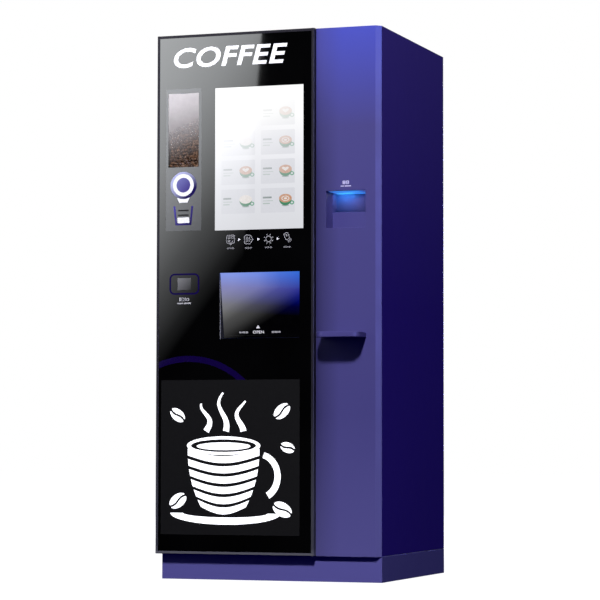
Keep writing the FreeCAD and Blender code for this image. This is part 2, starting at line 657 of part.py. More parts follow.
def make_hinges():
    """Three butt hinges outside the left panel, behind the door's overhang."""
    cabinet_leaves = []
    door_leaves = []
    pins = []
    bore = "hinge_pin + running_fit"
    for number, low in enumerate(hinge_heights()):
        middle = f"{low} + knuckle_length"
        upper = f"{low} + 2 * knuckle_length"
        axis = ("-hinge_out", "hinge_back")
        drill = rod(f"hinge_bore_{number}", "z", (*axis, f"{low} - 1"), bore, "3 * knuckle_length + 2")
        leaf = [block(f"cabinet_leaf_{number}", ("-leaf_gauge", "leaf_gauge"), ("hinge_back", "leaf_width"),
                      (low, "3 * knuckle_length"))]
        for place, start in (("low", low), ("high", f"{upper} + knuckle_gap")):
            leaf.append(rod(f"cabinet_knuckle_{place}_{number}", "z", (*axis, start), "knuckle_radius",
                            "knuckle_length - knuckle_gap"))
            leaf.append(block(f"cabinet_web_{place}_{number}", ("-hinge_out + 1", "hinge_out - 1"),
                              ("hinge_back", "knuckle_radius"), (start, "knuckle_length - knuckle_gap")))
        cabinet_leaves.append(cut(f"cabinet_hinge_{number}", fuse(f"cabinet_hinge_blank_{number}", *leaf),
                                  drill))
        plate = block(f"door_leaf_{number}", ("-door_overhang + fit", "rail_face - 2 * fit"),
                      ("door_back", "leaf_gauge"), (low, "3 * knuckle_length"))
        knuckle = rod(f"door_knuckle_{number}", "z", (*axis, middle), "knuckle_radius", "knuckle_length")
        web = block(f"door_web_{number}", ("-hinge_out - 2", "4"),
                    ("door_back", "gasket_thickness + hinge_back"),
                    (middle, "knuckle_length"))
        blank = fuse(f"door_hinge_blank_{number}", plate, knuckle, web)
        second = rod(f"door_hinge_bore_{number}", "z", (*axis, f"{low} - 1"), bore, "3 * knuckle_length + 2")
        door_leaves.append(cut(f"door_hinge_{number}", blank, second))
        pins.append(rod(f"hinge_pin_{number}", "z", (*axis, low), "hinge_pin", "3 * knuckle_length"))
    subpart(group("cabinet_hinge_leaves", cabinet_leaves), "cabinet_hinge_leaves")
    subpart(group("door_hinge_leaves", door_leaves), "door_hinge_leaves")
    subpart(group("hinge_pins", pins), "hinge_pins")


def make_magnets():
    """Two electromagnets beside the partition's flange, and the plates on the door that they hold."""
    magnets = []
    plates = []
    left = "column_left - flange - magnet_width"
    for step in range(2):
        low = f"magnet_low + {step} * magnet_pitch"
        magnets.append(block(f"magnet_{step}", (left, "magnet_width"), ("0", "magnet_depth"),
                             (low, "magnet_height")))
        plates.append(block(f"armature_{step}", (left, "magnet_width"), ("door_back", "armature_gauge"),
                            (low, "magnet_height")))
    subpart(group("door_magnets", magnets), "door_magnets")
    subpart(group("armature_plates", plates), "armature_plates")


def make_flap():
    """The pick-up flap hangs on a pin behind the glass and leans inwards against its stop."""
    left = "hatch_left + flap_side_gap"
    width = "hatch_width - 2 * flap_side_gap"
    barrel = rod("flap_barrel", "x", (left, "0", "0"), "barrel_radius", width)
    plate = block("flap_plate", (left, width), ("-barrel_radius", "flap_gauge"),
                  ("-flap_length", "flap_length"))
    bore = rod("flap_bore", "x", (f"{left} - 1", "0", "0"), "flap_pin + running_fit", f"{width} + 2")
    flap = cut("pickup_flap", fuse("flap_blank", barrel, plate), bore)
    flap.Placement = FreeCAD.Placement(Vector(), Rotation(Vector(1, 0, 0), 1))
    flap.setExpression("Placement.Rotation.Angle", ref("flap_tilt * 1 deg"))
    set_place(flap, "0", "pivot_y", "pivot_z")
    subpart(flap, "pickup_flap")
    outside = "hatch_left - hatch_margin - flap_bracket"
    span = "hatch_width + 2 * hatch_margin + 2 * flap_bracket"
    pin = rod("flap_pin_rod", "x", (outside, "pivot_y", "pivot_z"), "flap_pin", span)
    brackets = []
    for side, start in (("left", outside), ("right", "hatch_left + hatch_width + hatch_margin")):
        brackets.append(block(f"flap_bracket_{side}", (start, "flap_bracket"),
                              ("glass_back + fit", "door_back - gauge - glass_back - fit"),
                              ("pivot_z - 2 * barrel_radius", "4 * barrel_radius")))
    subpart(fuse("flap_axle", pin, *brackets), "flap_axle")


# ---- pick-up chamber ----

def make_chamber():
    shell = block("chamber_shell", ("chamber_left", "chamber_width"), ("chamber_front", "chamber_depth"),
                  ("lower_deck_top", "chamber_height"))
    hollow = block("chamber_hollow", ("chamber_left + gauge", "chamber_width - 2 * gauge"),
                   ("chamber_front - 1", "chamber_depth + 1 - gauge"),
                   ("lower_deck_top + gauge", "chamber_height - 2 * gauge"))
    drop = rod("chamber_drop", "z", ("cup_x", "cup_y", "chamber_roof - gauge - 1"), "drop_radius",
               "gauge + 2")
    pivot = rod("chamber_pivot", "z", ("spout_x", "spout_y", "chamber_roof - gauge - 1"),
                "spout_pin + running_fit", "gauge + 2")
    subpart(cut("pickup_chamber", shell, hollow, drop, pivot), "pickup_chamber")
    tube = rod("drop_tube_outer", "z", ("cup_x", "cup_y", "chamber_roof"), "drop_radius + drop_wall",
               "upper_deck_under - chamber_roof")
    throat = rod("drop_tube_inner", "z", ("cup_x", "cup_y", "chamber_roof - 1"), "drop_radius",
                 "upper_deck_under - chamber_roof + 2")
    subpart(cut("cup_drop_tube", tube, throat), "cup_drop_tube")


def make_tray():
    left = "chamber_left + gauge + tray_inset"
    width = "chamber_width - 2 * gauge - 2 * tray_inset"
    front = "chamber_front + 2 * tray_inset"
    depth = "chamber_depth - 4 * tray_inset"
    floor = "lower_deck_top + gauge"
    rim_height = "hatch_bottom - lower_deck_top - 2 * gauge"
    tray = block("tray_blank", (left, width), (front, depth), (floor, rim_height))
    hollow = block("tray_hollow", (f"{left} + gauge", f"{width} - 2 * gauge"),
                   (f"{front} + gauge", f"{depth} - 2 * gauge"), (f"{floor} + gauge", rim_height))
    subpart(cut("drip_tray", tray, hollow), "drip_tray")
    body = new_body("drip_grid")
    outline = rectangle(left, f"{left} + {width}", front, f"{front} + {depth}")
    pad(body, sketch_on(body, "XY_Plane", [outline]), "grid_gauge")
    first = f"{left} + ({width} - (grid_slots - 1) * grid_pitch - grid_slot) / 2"
    slot = sketch_on(body, "XY_Plane", [rectangle(first, f"{first} + grid_slot",
                                                  f"{front} + grid_pitch",
                                                  f"{front} + {depth} - grid_pitch")])
    cut_slot = pocket(body, slot, "4 * grid_gauge")
    repeat(body, cut_slot, slot, "H_Axis", "(grid_slots - 1) * grid_pitch", "grid_slots")
    set_place(body, "0", "0", f"{floor} + {rim_height}")
    subpart(body, "drip_grid")


def make_spout():
    """The spout arm parks along the chamber's side and swings over the cup on a pin in the chamber's roof."""
    under = "chamber_roof - gauge - arm_drop"
    pin = rod("spout_pin_rod", "z", ("spout_x", "spout_y", f"{under} - arm_height"), "spout_pin",
              f"arm_height + arm_drop + gauge + 4 * collar_height")
    collar = rod("spout_collar", "z", ("spout_x", "spout_y", "chamber_roof + fit"), "collar_radius",
                 "collar_height")
    arm = block("spout_bar", ("spout_x - arm_width / 2", "arm_width"),
                ("spout_y - arm_width / 2", "spout_reach + arm_width"),
                (f"{under} - arm_height", "arm_height"))
    nozzle = rod("spout_nozzle", "z", ("spout_x", "spout_y + spout_reach - nozzle_radius",
                                       f"{under} - arm_height - nozzle_length"), "nozzle_radius",
                 "nozzle_length + 1")
    subpart(fuse("spout_arm", pin, collar, arm, nozzle), "spout_arm")


# ---- cup turret ----

def turret_centres():
    return [
        ("turret_x - turret_pitch", "cup_y"), ("turret_x + turret_pitch", "cup_y"),
        ("turret_x", "cup_y - turret_pitch"), ("turret_x", "cup_y + turret_pitch"),
    ]


def make_turret():
    centre = ("turret_x", "cup_y")
    solids = [
        rod("turret_hub", "z", (*centre, "turret_bottom"), "hub_radius", "turret_height"),
        rod("turret_shaft", "z", (*centre, "upper_deck_under - shaft_height"), "shaft_radius",
            "shaft_height + gauge + turret_clearance + 1"),
    ]
    for step in range(2):
        low = f"turret_bottom + {step} * (turret_height - turret_plate) * 0.8"
        solids.append(rod(f"turret_plate_{step}", "z", (*centre, low), "turret_pitch", "turret_plate"))
    bores = []
    for number, (x, y) in enumerate(turret_centres()):
        solids.append(rod(f"cup_tube_{number}", "z", (x, y, "turret_bottom"), "stack_radius + tube_wall",
                          "turret_height"))
        bores.append(rod(f"cup_bore_{number}", "z", (x, y, "turret_bottom - 1"), "stack_radius",
                         "turret_height + 2"))
    subpart(cut("cup_turret", fuse("turret_blank", *solids), *bores), "cup_turret")
    can = rod("turret_motor_can", "z", (*centre, "upper_deck_under - motor_height"), "motor_radius",
              "motor_height")
    boss = rod("turret_boss", "z", (*centre, "upper_deck_under - 1"), "2 * shaft_radius",
               "turret_bottom - upper_deck_under + 1 - fit")
    bearing = rod("turret_bearing", "z", (*centre, "upper_deck_under - shaft_height - fit"),
                  "shaft_radius + running_fit", "2 * shaft_height")
    subpart(cut("turret_motor", fuse("turret_motor_blank", can, boss), bearing), "turret_motor")


# ---- beans, grinder and brewing group ----

def make_hopper():
    half = ("hopper_width / 2", "hopper_depth / 2")
    inner = ("hopper_width / 2 - hopper_wall", "hopper_depth / 2 - hopper_wall")
    neck = ("neck_width / 2", "neck_width / 2")
    throat = ("neck_width / 2 - hopper_wall", "neck_width / 2 - hopper_wall")
    slope = funnel("hopper_slope", ("hopper_x", "hopper_y", "grinder_top"), neck, half, "funnel_height")
    store = block("hopper_store", ("hopper_left", "hopper_width"), ("hopper_front", "hopper_depth"),
                  ("funnel_top", "store_height"))
    slope_hollow = funnel("hopper_slope_hollow", ("hopper_x", "hopper_y", "grinder_top"), throat, inner,
                          "funnel_height")
    throat_hole = block("hopper_throat",
                        ("hopper_x - neck_width / 2 + hopper_wall", "neck_width - 2 * hopper_wall"),
                        ("hopper_y - neck_width / 2 + hopper_wall", "neck_width - 2 * hopper_wall"),
                        ("grinder_top - 1", "2"))
    store_hollow = block("hopper_store_hollow",
                         ("hopper_left + hopper_wall", "hopper_width - 2 * hopper_wall"),
                         ("hopper_front + hopper_wall", "hopper_depth - 2 * hopper_wall"),
                         ("funnel_top - 0.01", "store_height + 1"))
    blank = fuse("hopper_blank", slope, store)
    subpart(cut("bean_hopper", blank, slope_hollow, throat_hole, store_hollow), "bean_hopper")
    lid = block("hopper_lid", ("hopper_left - lid_rim", "hopper_width + 2 * lid_rim"),
                ("hopper_front - lid_rim", "hopper_depth + 2 * lid_rim"), ("hopper_top + fit", "lid_gauge"))
    subpart(lid, "hopper_lid")


def make_grinder():
    centre = ("hopper_x", "hopper_y")
    body = rod("grinder_blank", "z", (*centre, "upper_deck_top"), "grinder_radius", "grinder_height")
    cavity = rod("grinder_cavity_cut", "z", (*centre, "upper_deck_top + grinder_floor"), "grinder_cavity",
                 "grinder_height - grinder_floor - grinder_roof")
    throat = rod("grinder_throat", "z", (*centre, "grinder_top - grinder_roof - 1"), "throat_radius",
                 "grinder_roof + 2")
    bearing = rod("grinder_bearing", "z", (*centre, "upper_deck_top + grinder_floor / 4"),
                  "burr_shaft + running_fit", "grinder_floor")
    outlet = rod("grinder_outlet", "z", ("hopper_x + outlet_offset", "hopper_y", "upper_deck_top - 1"),
                 "outlet_radius", "grinder_floor + 2")
    subpart(cut("grinder_housing", body, cavity, throat, bearing, outlet), "grinder_housing")
    cone = taper("burr_cone", "z", (*centre, "upper_deck_top + grinder_floor + fit"), "burr_radius",
                 "burr_tip",
                 "burr_height")
    shaft = rod("burr_stem", "z", (*centre, "upper_deck_top + grinder_floor / 4 + fit"), "burr_shaft",
                "grinder_floor")
    subpart(fuse("grinder_burr", cone, shaft), "grinder_burr")


def make_brewer():
    """The brewing group's frame with its gearbox, the cylinder on its shelf and the piston on its rod."""
    centre = ("brewer_x", "brewer_y")
    plate = block("brewer_plate", ("brewer_left", "brewer_width"), ("brewer_back", "brewer_gauge"),
                  ("lower_deck_top", "brewer_height"))
    gearbox = block("brewer_gearbox", ("brewer_x - gearbox_width / 2", "gearbox_width"),
                    ("brewer_y - gearbox_width / 2", "brewer_back - brewer_y + gearbox_width / 2 + 1"),
                    ("lower_deck_top", "gearbox_height"))
    shelf = block("brewer_shelf", ("brewer_left", "brewer_width"),
                  ("brewer_back - brewer_width", "brewer_width + 1"),
                  ("brew_shelf_top - brewer_gauge", "brewer_gauge"))
    guide = rod("brewer_guide", "z", (*centre, "lower_deck_top + gauge"), "rod_radius + fit",
                "brew_shelf + gauge")
    subpart(cut("brewer_frame", fuse("brewer_blank", plate, gearbox, shelf), guide), "brewer_frame")
    barrel = rod("brew_barrel", "z", (*centre, "brew_shelf_top"), "brew_radius + brew_wall", "brew_length")
    bore = rod("brew_bore", "z", (*centre, "brew_shelf_top - 1"), "brew_radius", "brew_length + 2")
    subpart(cut("brew_cylinder", barrel, bore), "brew_cylinder")
    head = rod("piston_head", "z", (*centre, "brew_shelf_top + fit"), "brew_radius - piston_clearance",
               "piston_height")
    stem = rod("piston_rod", "z", (*centre, "brew_shelf_top + fit + 1 - rod_length"), "rod_radius",
               "rod_length")
    subpart(fuse("brew_piston", head, stem), "brew_piston")


# ---- powder canisters ----

def make_canisters():
    canisters = []
    drives = []
    bowls = []
    for step in range(2):
        left = f"canister_left + {step} * canister_pitch"
        x = f"{left} + canister_width / 2"
        shell = block(f"canister_shell_{step}", (left, "canister_width"),
                      ("canister_front", "canister_depth"),
                      ("canister_bottom", "canister_height"))
        hollow = block(f"canister_hollow_{step}",
                       (f"{left} + canister_wall", "canister_width - 2 * canister_wall"),
                       ("canister_front + canister_wall", "canister_depth - 2 * canister_wall"),
                       ("canister_bottom + canister_wall", "canister_height"))
        outlet = rod(f"canister_outlet_{step}", "z",
                     (x, "canister_front + 2 * bowl_outlet", "canister_bottom - 1"),
                     "spout_hole", "canister_wall + 2")
        seat = rod(f"canister_seat_{step}", "y",
                   (x, "canister_front + canister_depth - canister_wall - 1", "auger_z"),
                   "auger_shaft + running_fit", "canister_wall + 2")
        canisters.append(cut(f"canister_{step}", shell, hollow, outlet, seat))
        plate = block(f"drive_plate_{step}", (left, "canister_width"), ("drive_plate", "drive_gauge"),
                      ("upper_deck_top", "canister_bottom + canister_height / 2 - upper_deck_top"))
        motor = block(f"drive_motor_{step}", (f"{x} - drive_depth / 2", "drive_depth"),
                      ("drive_plate", "drive_gauge + drive_depth"),
                      ("auger_z - drive_height / 2", "drive_height"))
        socket = rod(f"drive_socket_{step}", "y", (x, "drive_plate - 1", "auger_z"),
                     "auger_shaft + running_fit",
                     "drive_gauge + drive_depth / 2")
        drives.append(cut(f"drive_{step}", fuse(f"drive_blank_{step}", plate, motor), socket))
        bowls.append(make_bowl(step, x))
        auger_side = ("left", "right")[step]
        make_auger(auger_side + "_auger", x)
    subpart(group("powder_canisters", canisters), "powder_canisters")
    subpart(group("auger_drives", drives), "auger_drives")
    subpart(group("mixing_bowls", bowls), "mixing_bowls")


def make_bowl(step, x):
    """An open funnel under a canister's outlet, on an arm from the drive plate."""
    centre = (x, "canister_front + 2 * bowl_outlet", "bowl_bottom")
    rim = ("canister_width / 2 - canister_wall", "2 * bowl_outlet")
    outer = funnel(f"bowl_outer_{step}", centre, ("bowl_outlet", "bowl_outlet"), rim, "bowl_height")
    wall = "canister_wall"
    mouth = (f"canister_width / 2 - 2 * {wall}", f"2 * bowl_outlet - {wall}")
    inner = funnel(f"bowl_inner_{step}", centre, (f"bowl_outlet - {wall}", f"bowl_outlet - {wall}"), mouth,
                   "bowl_height")
    arm = block(f"bowl_arm_{step}", (f"{x} - bowl_outlet", "2 * bowl_outlet"),
                ("canister_front + 4 * bowl_outlet - canister_wall",
                 "canister_depth - 4 * bowl_outlet + canister_wall"),
                ("bowl_bottom + bowl_height - 2 * canister_wall", "2 * canister_wall"))
    return fuse(f"bowl_{step}", cut(f"bowl_shell_{step}", outer, inner), arm)


def make_auger(label, x):
    """A shaft with slanted discs along the canister's floor, held in the drive behind it."""
    length = "canister_depth - 2 * canister_wall - auger_radius"
    solids = [rod(label + "_shaft", "y", (x, "canister_front + canister_wall + auger_radius", "auger_z"),
                  "auger_shaft", f"{length} + canister_wall + drive_gauge + drive_depth / 4")]
    count = 10
    for number in range(count):
        disc = rod(f"{label}_flight_{number}", "y", (x, f"canister_front + canister_wall + 2 * auger_radius"
                   f" + {number} * ({length} - 2 * auger_radius) / {count}", "auger_z"), "auger_radius - 1",
                   "gauge")
        disc.Placement.Rotation = Rotation(Vector(0, 0, 1), 16) * ALONG["y"]
        solids.append(disc)
    subpart(fuse(label, *solids), label)


# ---- water, waste and electrics ----

def make_water():
    boiler_body = new_body("boiler")
    can = pad(boiler_body, sketch_on(boiler_body, "XY_Plane", circles=[("0", "0", "boiler_radius")]),
              "boiler_height")
    edges = [f"Edge{number}" for number, edge in enumerate(can.Shape.Edges, start=1)
             if edge.BoundBox.ZMin > DIMENSIONS["boiler_height"] - 0.01]
    dome = boiler_body.newObject("PartDesign::Fillet", "boiler_dome")
    dome.Base = (can, edges)
    dome.setExpression("Radius", ref("boiler_radius / 2"))
    set_place(boiler_body, "boiler_x", "boiler_y", "upper_deck_top")
    subpart(boiler_body, "boiler")
    base = block("pump_base", ("boiler_x - pump_radius", "2 * pump_radius"), ("boiler_y", "pump_length"),
                 ("lower_deck_top", "pump_radius / 2 + 1"))
    can = rod("pump_can", "y", ("boiler_x", "boiler_y", "lower_deck_top + pump_radius * 1.5"), "pump_radius",
              "pump_length")
    subpart(fuse("water_pump", base, can), "water_pump")
    make_pipe()
    tank = block("tank_blank", ("tank_left", "tank_width"), ("tank_front", "tank_depth"),
                 ("wall_bottom", "tank_height"))
    hollow = block("tank_hollow", ("tank_left + tank_wall", "tank_width - 2 * tank_wall"),
                   ("tank_front + tank_wall", "tank_depth - 2 * tank_wall"),
                   ("wall_bottom + tank_wall", "tank_height - 2 * tank_wall"))
    filler = rod("tank_filler", "z", ("tank_left + tank_width / 2", "tank_front + 2 * tank_cap",
                                      "wall_bottom + tank_height / 2"), "tank_cap", "tank_height")
    subpart(cut("water_tank", tank, hollow, filler), "water_tank")
    waste = block("bin_blank", ("bin_left", "bin_width"), ("bin_front", "bin_depth"),
                  ("wall_bottom", "bin_height"))
    inside = block("bin_hollow", ("bin_left + bin_wall", "bin_width - 2 * bin_wall"),
                   ("bin_front + bin_wall", "bin_depth - 2 * bin_wall"),
                   ("wall_bottom + bin_wall", "bin_height"))
    subpart(cut("waste_bin", waste, inside), "waste_bin")


def make_pipe():
    """The hot-water pipe: out of the boiler, down through the deck and into the brewer's frame."""
    size = DIMENSIONS
    bend = size["pipe_bend"]
    boiler_face = size["boiler_y"] - size["boiler_radius"] - size["fit"]
    frame_face = size["brewer_back"] + size["brewer_gauge"] + size["fit"]
    x, y, top, low = size["boiler_x"], size["pipe_y"], size["pipe_top"], size["pipe_low"]
    knee = bend * (1 - math.sqrt(0.5))
    edges = [
        Part.LineSegment(Vector(x, boiler_face, top), Vector(x, y + bend, top)),
        Part.Arc(Vector(x, y + bend, top), Vector(x, y + knee, top - knee), Vector(x, y, top - bend)),
        Part.LineSegment(Vector(x, y, top - bend), Vector(x, y, low + bend)),
        Part.Arc(Vector(x, y, low + bend), Vector(x, y - knee, low + knee), Vector(x, y - bend, low)),
        Part.LineSegment(Vector(x, y - bend, low), Vector(x, frame_face, low)),
    ]
    path = Part.Wire([edge.toShape() for edge in edges])
    ring = Part.Wire([Part.Circle(Vector(x, boiler_face, top), Vector(0, -1, 0),
                                  size["pipe_radius"]).toShape()])
    pipe = doc.addObject("Part::Feature", "hot_water_pipe")
    pipe.Shape = path.makePipeShell([ring], True, True)
    subpart(pipe, "hot_water_pipe")


def make_fan():
    frame = block("fan_blank", ("fan_left", "fan_size"), ("fan_front", "fan_depth"),
                  ("fan_bottom", "fan_size"))
    duct = rod("fan_duct", "y", ("fan_x", "fan_front - 1", "fan_z"), "fan_hole", "fan_depth + 2")
    seat = rod("fan_seat", "y", ("fan_x", "fan_front", "fan_z"), "fan_hub", "fan_strut")
    bars = [
        block("fan_bar_level", ("fan_left + 1", "fan_size - 2"), ("fan_front", "fan_strut"),
              ("fan_z - fan_strut / 2", "fan_strut")),
        block("fan_bar_upright", ("fan_x - fan_strut / 2", "fan_strut"), ("fan_front", "fan_strut"),
              ("fan_bottom + 1", "fan_size - 2")),
    ]
    bearing = rod("fan_bearing", "y", ("fan_x", "fan_front - 1", "fan_z"), "fan_pin + running_fit",
                  "fan_strut + 2")
    spider = fuse("fan_spider", cut("fan_ring", frame, duct), seat, *bars)
    subpart(cut("fan_frame", spider, bearing), "fan_frame")
    solids = [
        rod("rotor_hub", "y", ("fan_x", "fan_front + fan_strut + fit", "fan_z"), "fan_hub",
            "blade_width + 2"),
        rod("rotor_pin", "y", ("fan_x", "fan_front + fan_strut / 4", "fan_z"), "fan_pin", "2 * fan_strut"),
    ]
    blades = 7
    for number in range(blades):
        blade = block(f"rotor_blade_{number}", ("fan_x", "fan_hub + blade_length - 2"),
                      ("fan_front + fan_strut + fit + 1", "blade_gauge"), ("fan_z", "blade_width"))
        pitch = Rotation(Vector(1, 0, 0), -50)
        blade.Placement.Rotation = Rotation(Vector(0, 1, 0), number * 360 / blades) * pitch
        solids.append(blade)
    subpart(fuse("fan_rotor", *solids), "fan_rotor")


def make_electrics():
    shell = block("inlet_body", ("inlet_left + fit", "inlet_width - 2 * fit"),
                  ("cabinet_depth - inlet_depth", "inlet_depth"),
                  ("inlet_bottom + fit", "inlet_height - 2 * fit"))
    rim = block("inlet_flange", ("inlet_left - inlet_rim", "inlet_width + 2 * inlet_rim"),
                ("flange_front - gauge / 2", "gauge * 1.5"),
                ("inlet_bottom - inlet_rim / 2", "inlet_height + inlet_rim"))
    socket = block("inlet_socket", ("inlet_left + gauge", "inlet_width - 2 * gauge"),
                   ("cabinet_depth - inlet_depth + 3 * gauge", "inlet_depth"),
                   ("inlet_bottom + gauge", "inlet_height - 2 * gauge"))
    blades = []
    for step in (-1, 0, 1):
        blades.append(block(f"inlet_blade_{step + 1}",
                            (f"inlet_left + inlet_width / 2 + {step} * 7 - 1", "2"),
                            ("cabinet_depth - inlet_depth + 2 * gauge", "inlet_depth / 2"),
                            ("inlet_bottom + inlet_height / 2 - 2", "4")))
    subpart(fuse("power_inlet", cut("inlet_open", fuse("inlet_blank", shell, rim), socket), *blades),
            "power_inlet")
    box = block("control_box", ("column_left + gauge", "box_width"), ("box_front", "box_depth"),
                ("box_bottom", "box_height"))
    subpart(box, "control_box")


def check_and_write():
    doc.recompute()
    for thing in doc.Objects:
        assert not {"Invalid", "Error"} & set(thing.State), (thing.Name, thing.State)
    for thing in subparts:
        assert not thing.Shape.isNull() and thing.Shape.isValid(), thing.Label
    os.makedirs("parts", exist_ok=True)
    for thing in subparts:
        thing.Shape.exportStep(f"parts/{thing.Label}.step")
    print(len(subparts), "sub-parts written")


make_cabinet()
make_plinth()
make_rear()
make_decks()
make_column()
make_recess()
make_shelf()
make_door_frame()
make_door_panels()
make_door_modules()
make_hinges()
make_magnets()
make_flap()
make_chamber()
make_tray()
make_spout()
make_turret()
make_hopper()
make_grinder()
make_brewer()
make_canisters()
make_water()
make_fan()
make_electrics()
check_and_write()
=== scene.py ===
"""Looks of the hot coffee vending machine: finishes, door graphics, lit screen, coffee beans and studio."""

import json
import math
import random

import bmesh
import bpy
from mathutils import Euler, Matrix, Vector


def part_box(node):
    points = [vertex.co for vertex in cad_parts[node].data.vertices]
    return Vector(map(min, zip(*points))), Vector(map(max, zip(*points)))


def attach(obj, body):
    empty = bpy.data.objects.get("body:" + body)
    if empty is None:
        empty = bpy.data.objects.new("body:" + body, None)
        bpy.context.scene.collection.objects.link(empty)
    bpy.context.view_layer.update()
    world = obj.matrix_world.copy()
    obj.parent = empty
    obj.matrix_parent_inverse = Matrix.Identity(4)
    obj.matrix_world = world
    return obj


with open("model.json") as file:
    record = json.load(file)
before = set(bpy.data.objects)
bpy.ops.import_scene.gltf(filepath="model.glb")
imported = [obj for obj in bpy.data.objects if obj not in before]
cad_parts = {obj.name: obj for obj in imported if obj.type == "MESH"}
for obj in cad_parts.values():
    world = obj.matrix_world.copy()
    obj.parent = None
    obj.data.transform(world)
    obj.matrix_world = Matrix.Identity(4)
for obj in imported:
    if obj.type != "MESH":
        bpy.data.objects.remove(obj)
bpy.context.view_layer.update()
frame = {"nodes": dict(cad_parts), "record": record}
random.seed(11)

# One millimetre in metres, and the planes that prints are placed from.
MM = 0.001
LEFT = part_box("left_side_panel")[0].x
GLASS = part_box("door_glass")[0].y
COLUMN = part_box("column_cover")[0].y


def srgb(red, green, blue):
    """A screen colour, 0 to 255, as the linear colour that shaders take."""
    values = [c / 255 for c in (red, green, blue)]
    return tuple(c / 12.92 if c < 0.04045 else ((c + 0.055) / 1.055) ** 2.4 for c in values) + (1,)


def shade(colour, factor):
    return tuple(min(1, c * factor) for c in colour[:3]) + (1,)


# ---- materials ----

# Nearly all of Blender's noise lies between these two values.
NOISE_LOW, NOISE_HIGH = 0.32, 0.68
# The cosine between rounded and flat normals where wear starts, and where it is full.
WEAR_STARTS, WEAR_FULL = 0.98, 0.80


class Finish:
    """A Principled material whose colour, roughness and relief come from nodes in the object's own space."""

    def __init__(self, name, **constants):
        self.material = bpy.data.materials.new(name)
        self.material.use_nodes = True
        self.nodes = self.material.node_tree.nodes
        self.links = self.material.node_tree.links
        self.nodes.clear()
        self.shader = self.add("BsdfPrincipled")
        self.links.new(self.shader.outputs[0], self.add("OutputMaterial").inputs["Surface"])
        self.place = self.add("TexCoord").outputs["Object"]
        for socket, value in constants.items():
            self.shader.inputs[socket.replace("_", " ")].default_value = value

    def add(self, kind, inputs=None, **settings):
        node = self.nodes.new("ShaderNode" + kind)
        for key, value in settings.items():
            setattr(node, key, value)
        for socket, value in (inputs or {}).items():
            if isinstance(value, bpy.types.NodeSocket):
                self.links.new(value, node.inputs[socket])
            else:
                node.inputs[socket].default_value = value
        return node

    def set(self, socket, value):
        self.links.new(value, self.shader.inputs[socket])

    def remap(self, value, low, high, to_low=0.0, to_high=1.0):
        sockets = {"Value": value, "From Min": low, "From Max": high, "To Min": to_low, "To Max": to_high}
        return self.add("MapRange", sockets).outputs[0]

    def noise(self, scale, detail=3.0, stretch=(1, 1, 1), out=(0.0, 1.0)):
        moved = self.add("Mapping", {"Vector": self.place, "Scale": stretch}).outputs[0]
        cloud = self.add("TexNoise", {"Vector": moved, "Scale": scale, "Detail": detail}).outputs[0]
        return self.remap(cloud, NOISE_LOW, NOISE_HIGH, *out)

    def reckon(self, operation, first, second=0.0):
        """A Math node's result."""
        return self.add("Math", {0: first, 1: second}, operation=operation).outputs[0]

    def mix(self, factor, first, second):
        node = self.add("Mix", data_type="RGBA")
        for index, value in ((0, factor), (6, first), (7, second)):
            if isinstance(value, bpy.types.NodeSocket):
                self.links.new(value, node.inputs[index])
            else:
                node.inputs[index].default_value = value
        return node.outputs[2]

    def ramp(self, factor, stops):
        node = self.add("ValToRGB", {"Fac": factor})
        elements = node.color_ramp.elements
        while len(elements) < len(stops):
            elements.new(0.5)
        for element, (position, colour) in zip(elements, stops):
            element.position = position
            element.color = colour if len(colour) == 4 else tuple(colour) + (1,)
        return node.outputs[0]

    def along(self, x=0.0, y=0.0, z=0.0):
        """The distance along a direction in the object's space, in metres."""
        return self.add("VectorMath", {0: self.place, 1: (x, y, z)}, operation="DOT_PRODUCT").outputs["Value"]

    def relief(self, height, depth, edge=0.0):
        """Bump, over edges that look rounded to the radius edge."""
        sockets = {"Height": height, "Distance": depth, "Strength": 1.0}
        if edge:
            self.rounded = self.add("Bevel", {"Radius": edge}, samples=4).outputs[0]
            sockets["Normal"] = self.rounded
        self.set("Normal", self.add("Bump", sockets).outputs[0])

    def edge_mask(self):
        """1 where the rounded normal leaves the flat one: along worn edges."""
        flat = self.add("NewGeometry").outputs["True Normal"]
        dot = self.add("VectorMath", {0: self.rounded, 1: flat}, operation="DOT_PRODUCT").outputs["Value"]
        return self.remap(dot, WEAR_STARTS, WEAR_FULL)


def finish(name, colour, drift=0.07, patch=5.0, rough=(0.35, 0.5), grain=(380.0, 0.00002), edge=0.0012,
           worn=0.0, streak=(1, 1, 1), **constants):
    """A moulded, painted or metal surface: cloudy colour, uneven gloss, fine grain and softened edges."""
    made = Finish(name, **constants)
    made.colour = made.mix(made.noise(patch, 4.0), shade(colour, 1 - drift), shade(colour, 1 + drift))
    made.relief(made.noise(grain[0], 2.0, streak), grain[1], edge)
    if worn:
        made.colour = made.mix(made.edge_mask(), made.colour, shade(colour, 1 + worn))
    made.set("Base Color", made.colour)
    made.set("Roughness", made.noise(patch * 7, 5.0, streak, rough))
    return made


# The cabinet's own colour.
VIOLET = (0.064, 0.0575, 0.213, 1)


def coat(name, colour):
    """Satin powder coat with a fine orange-peel skin."""
    return finish(name, colour, 0.025, 1.2, (0.36, 0.44), (420.0, 0.00004), 0.0018, worn=0.5,
                  Specular_IOR_Level=0.05)


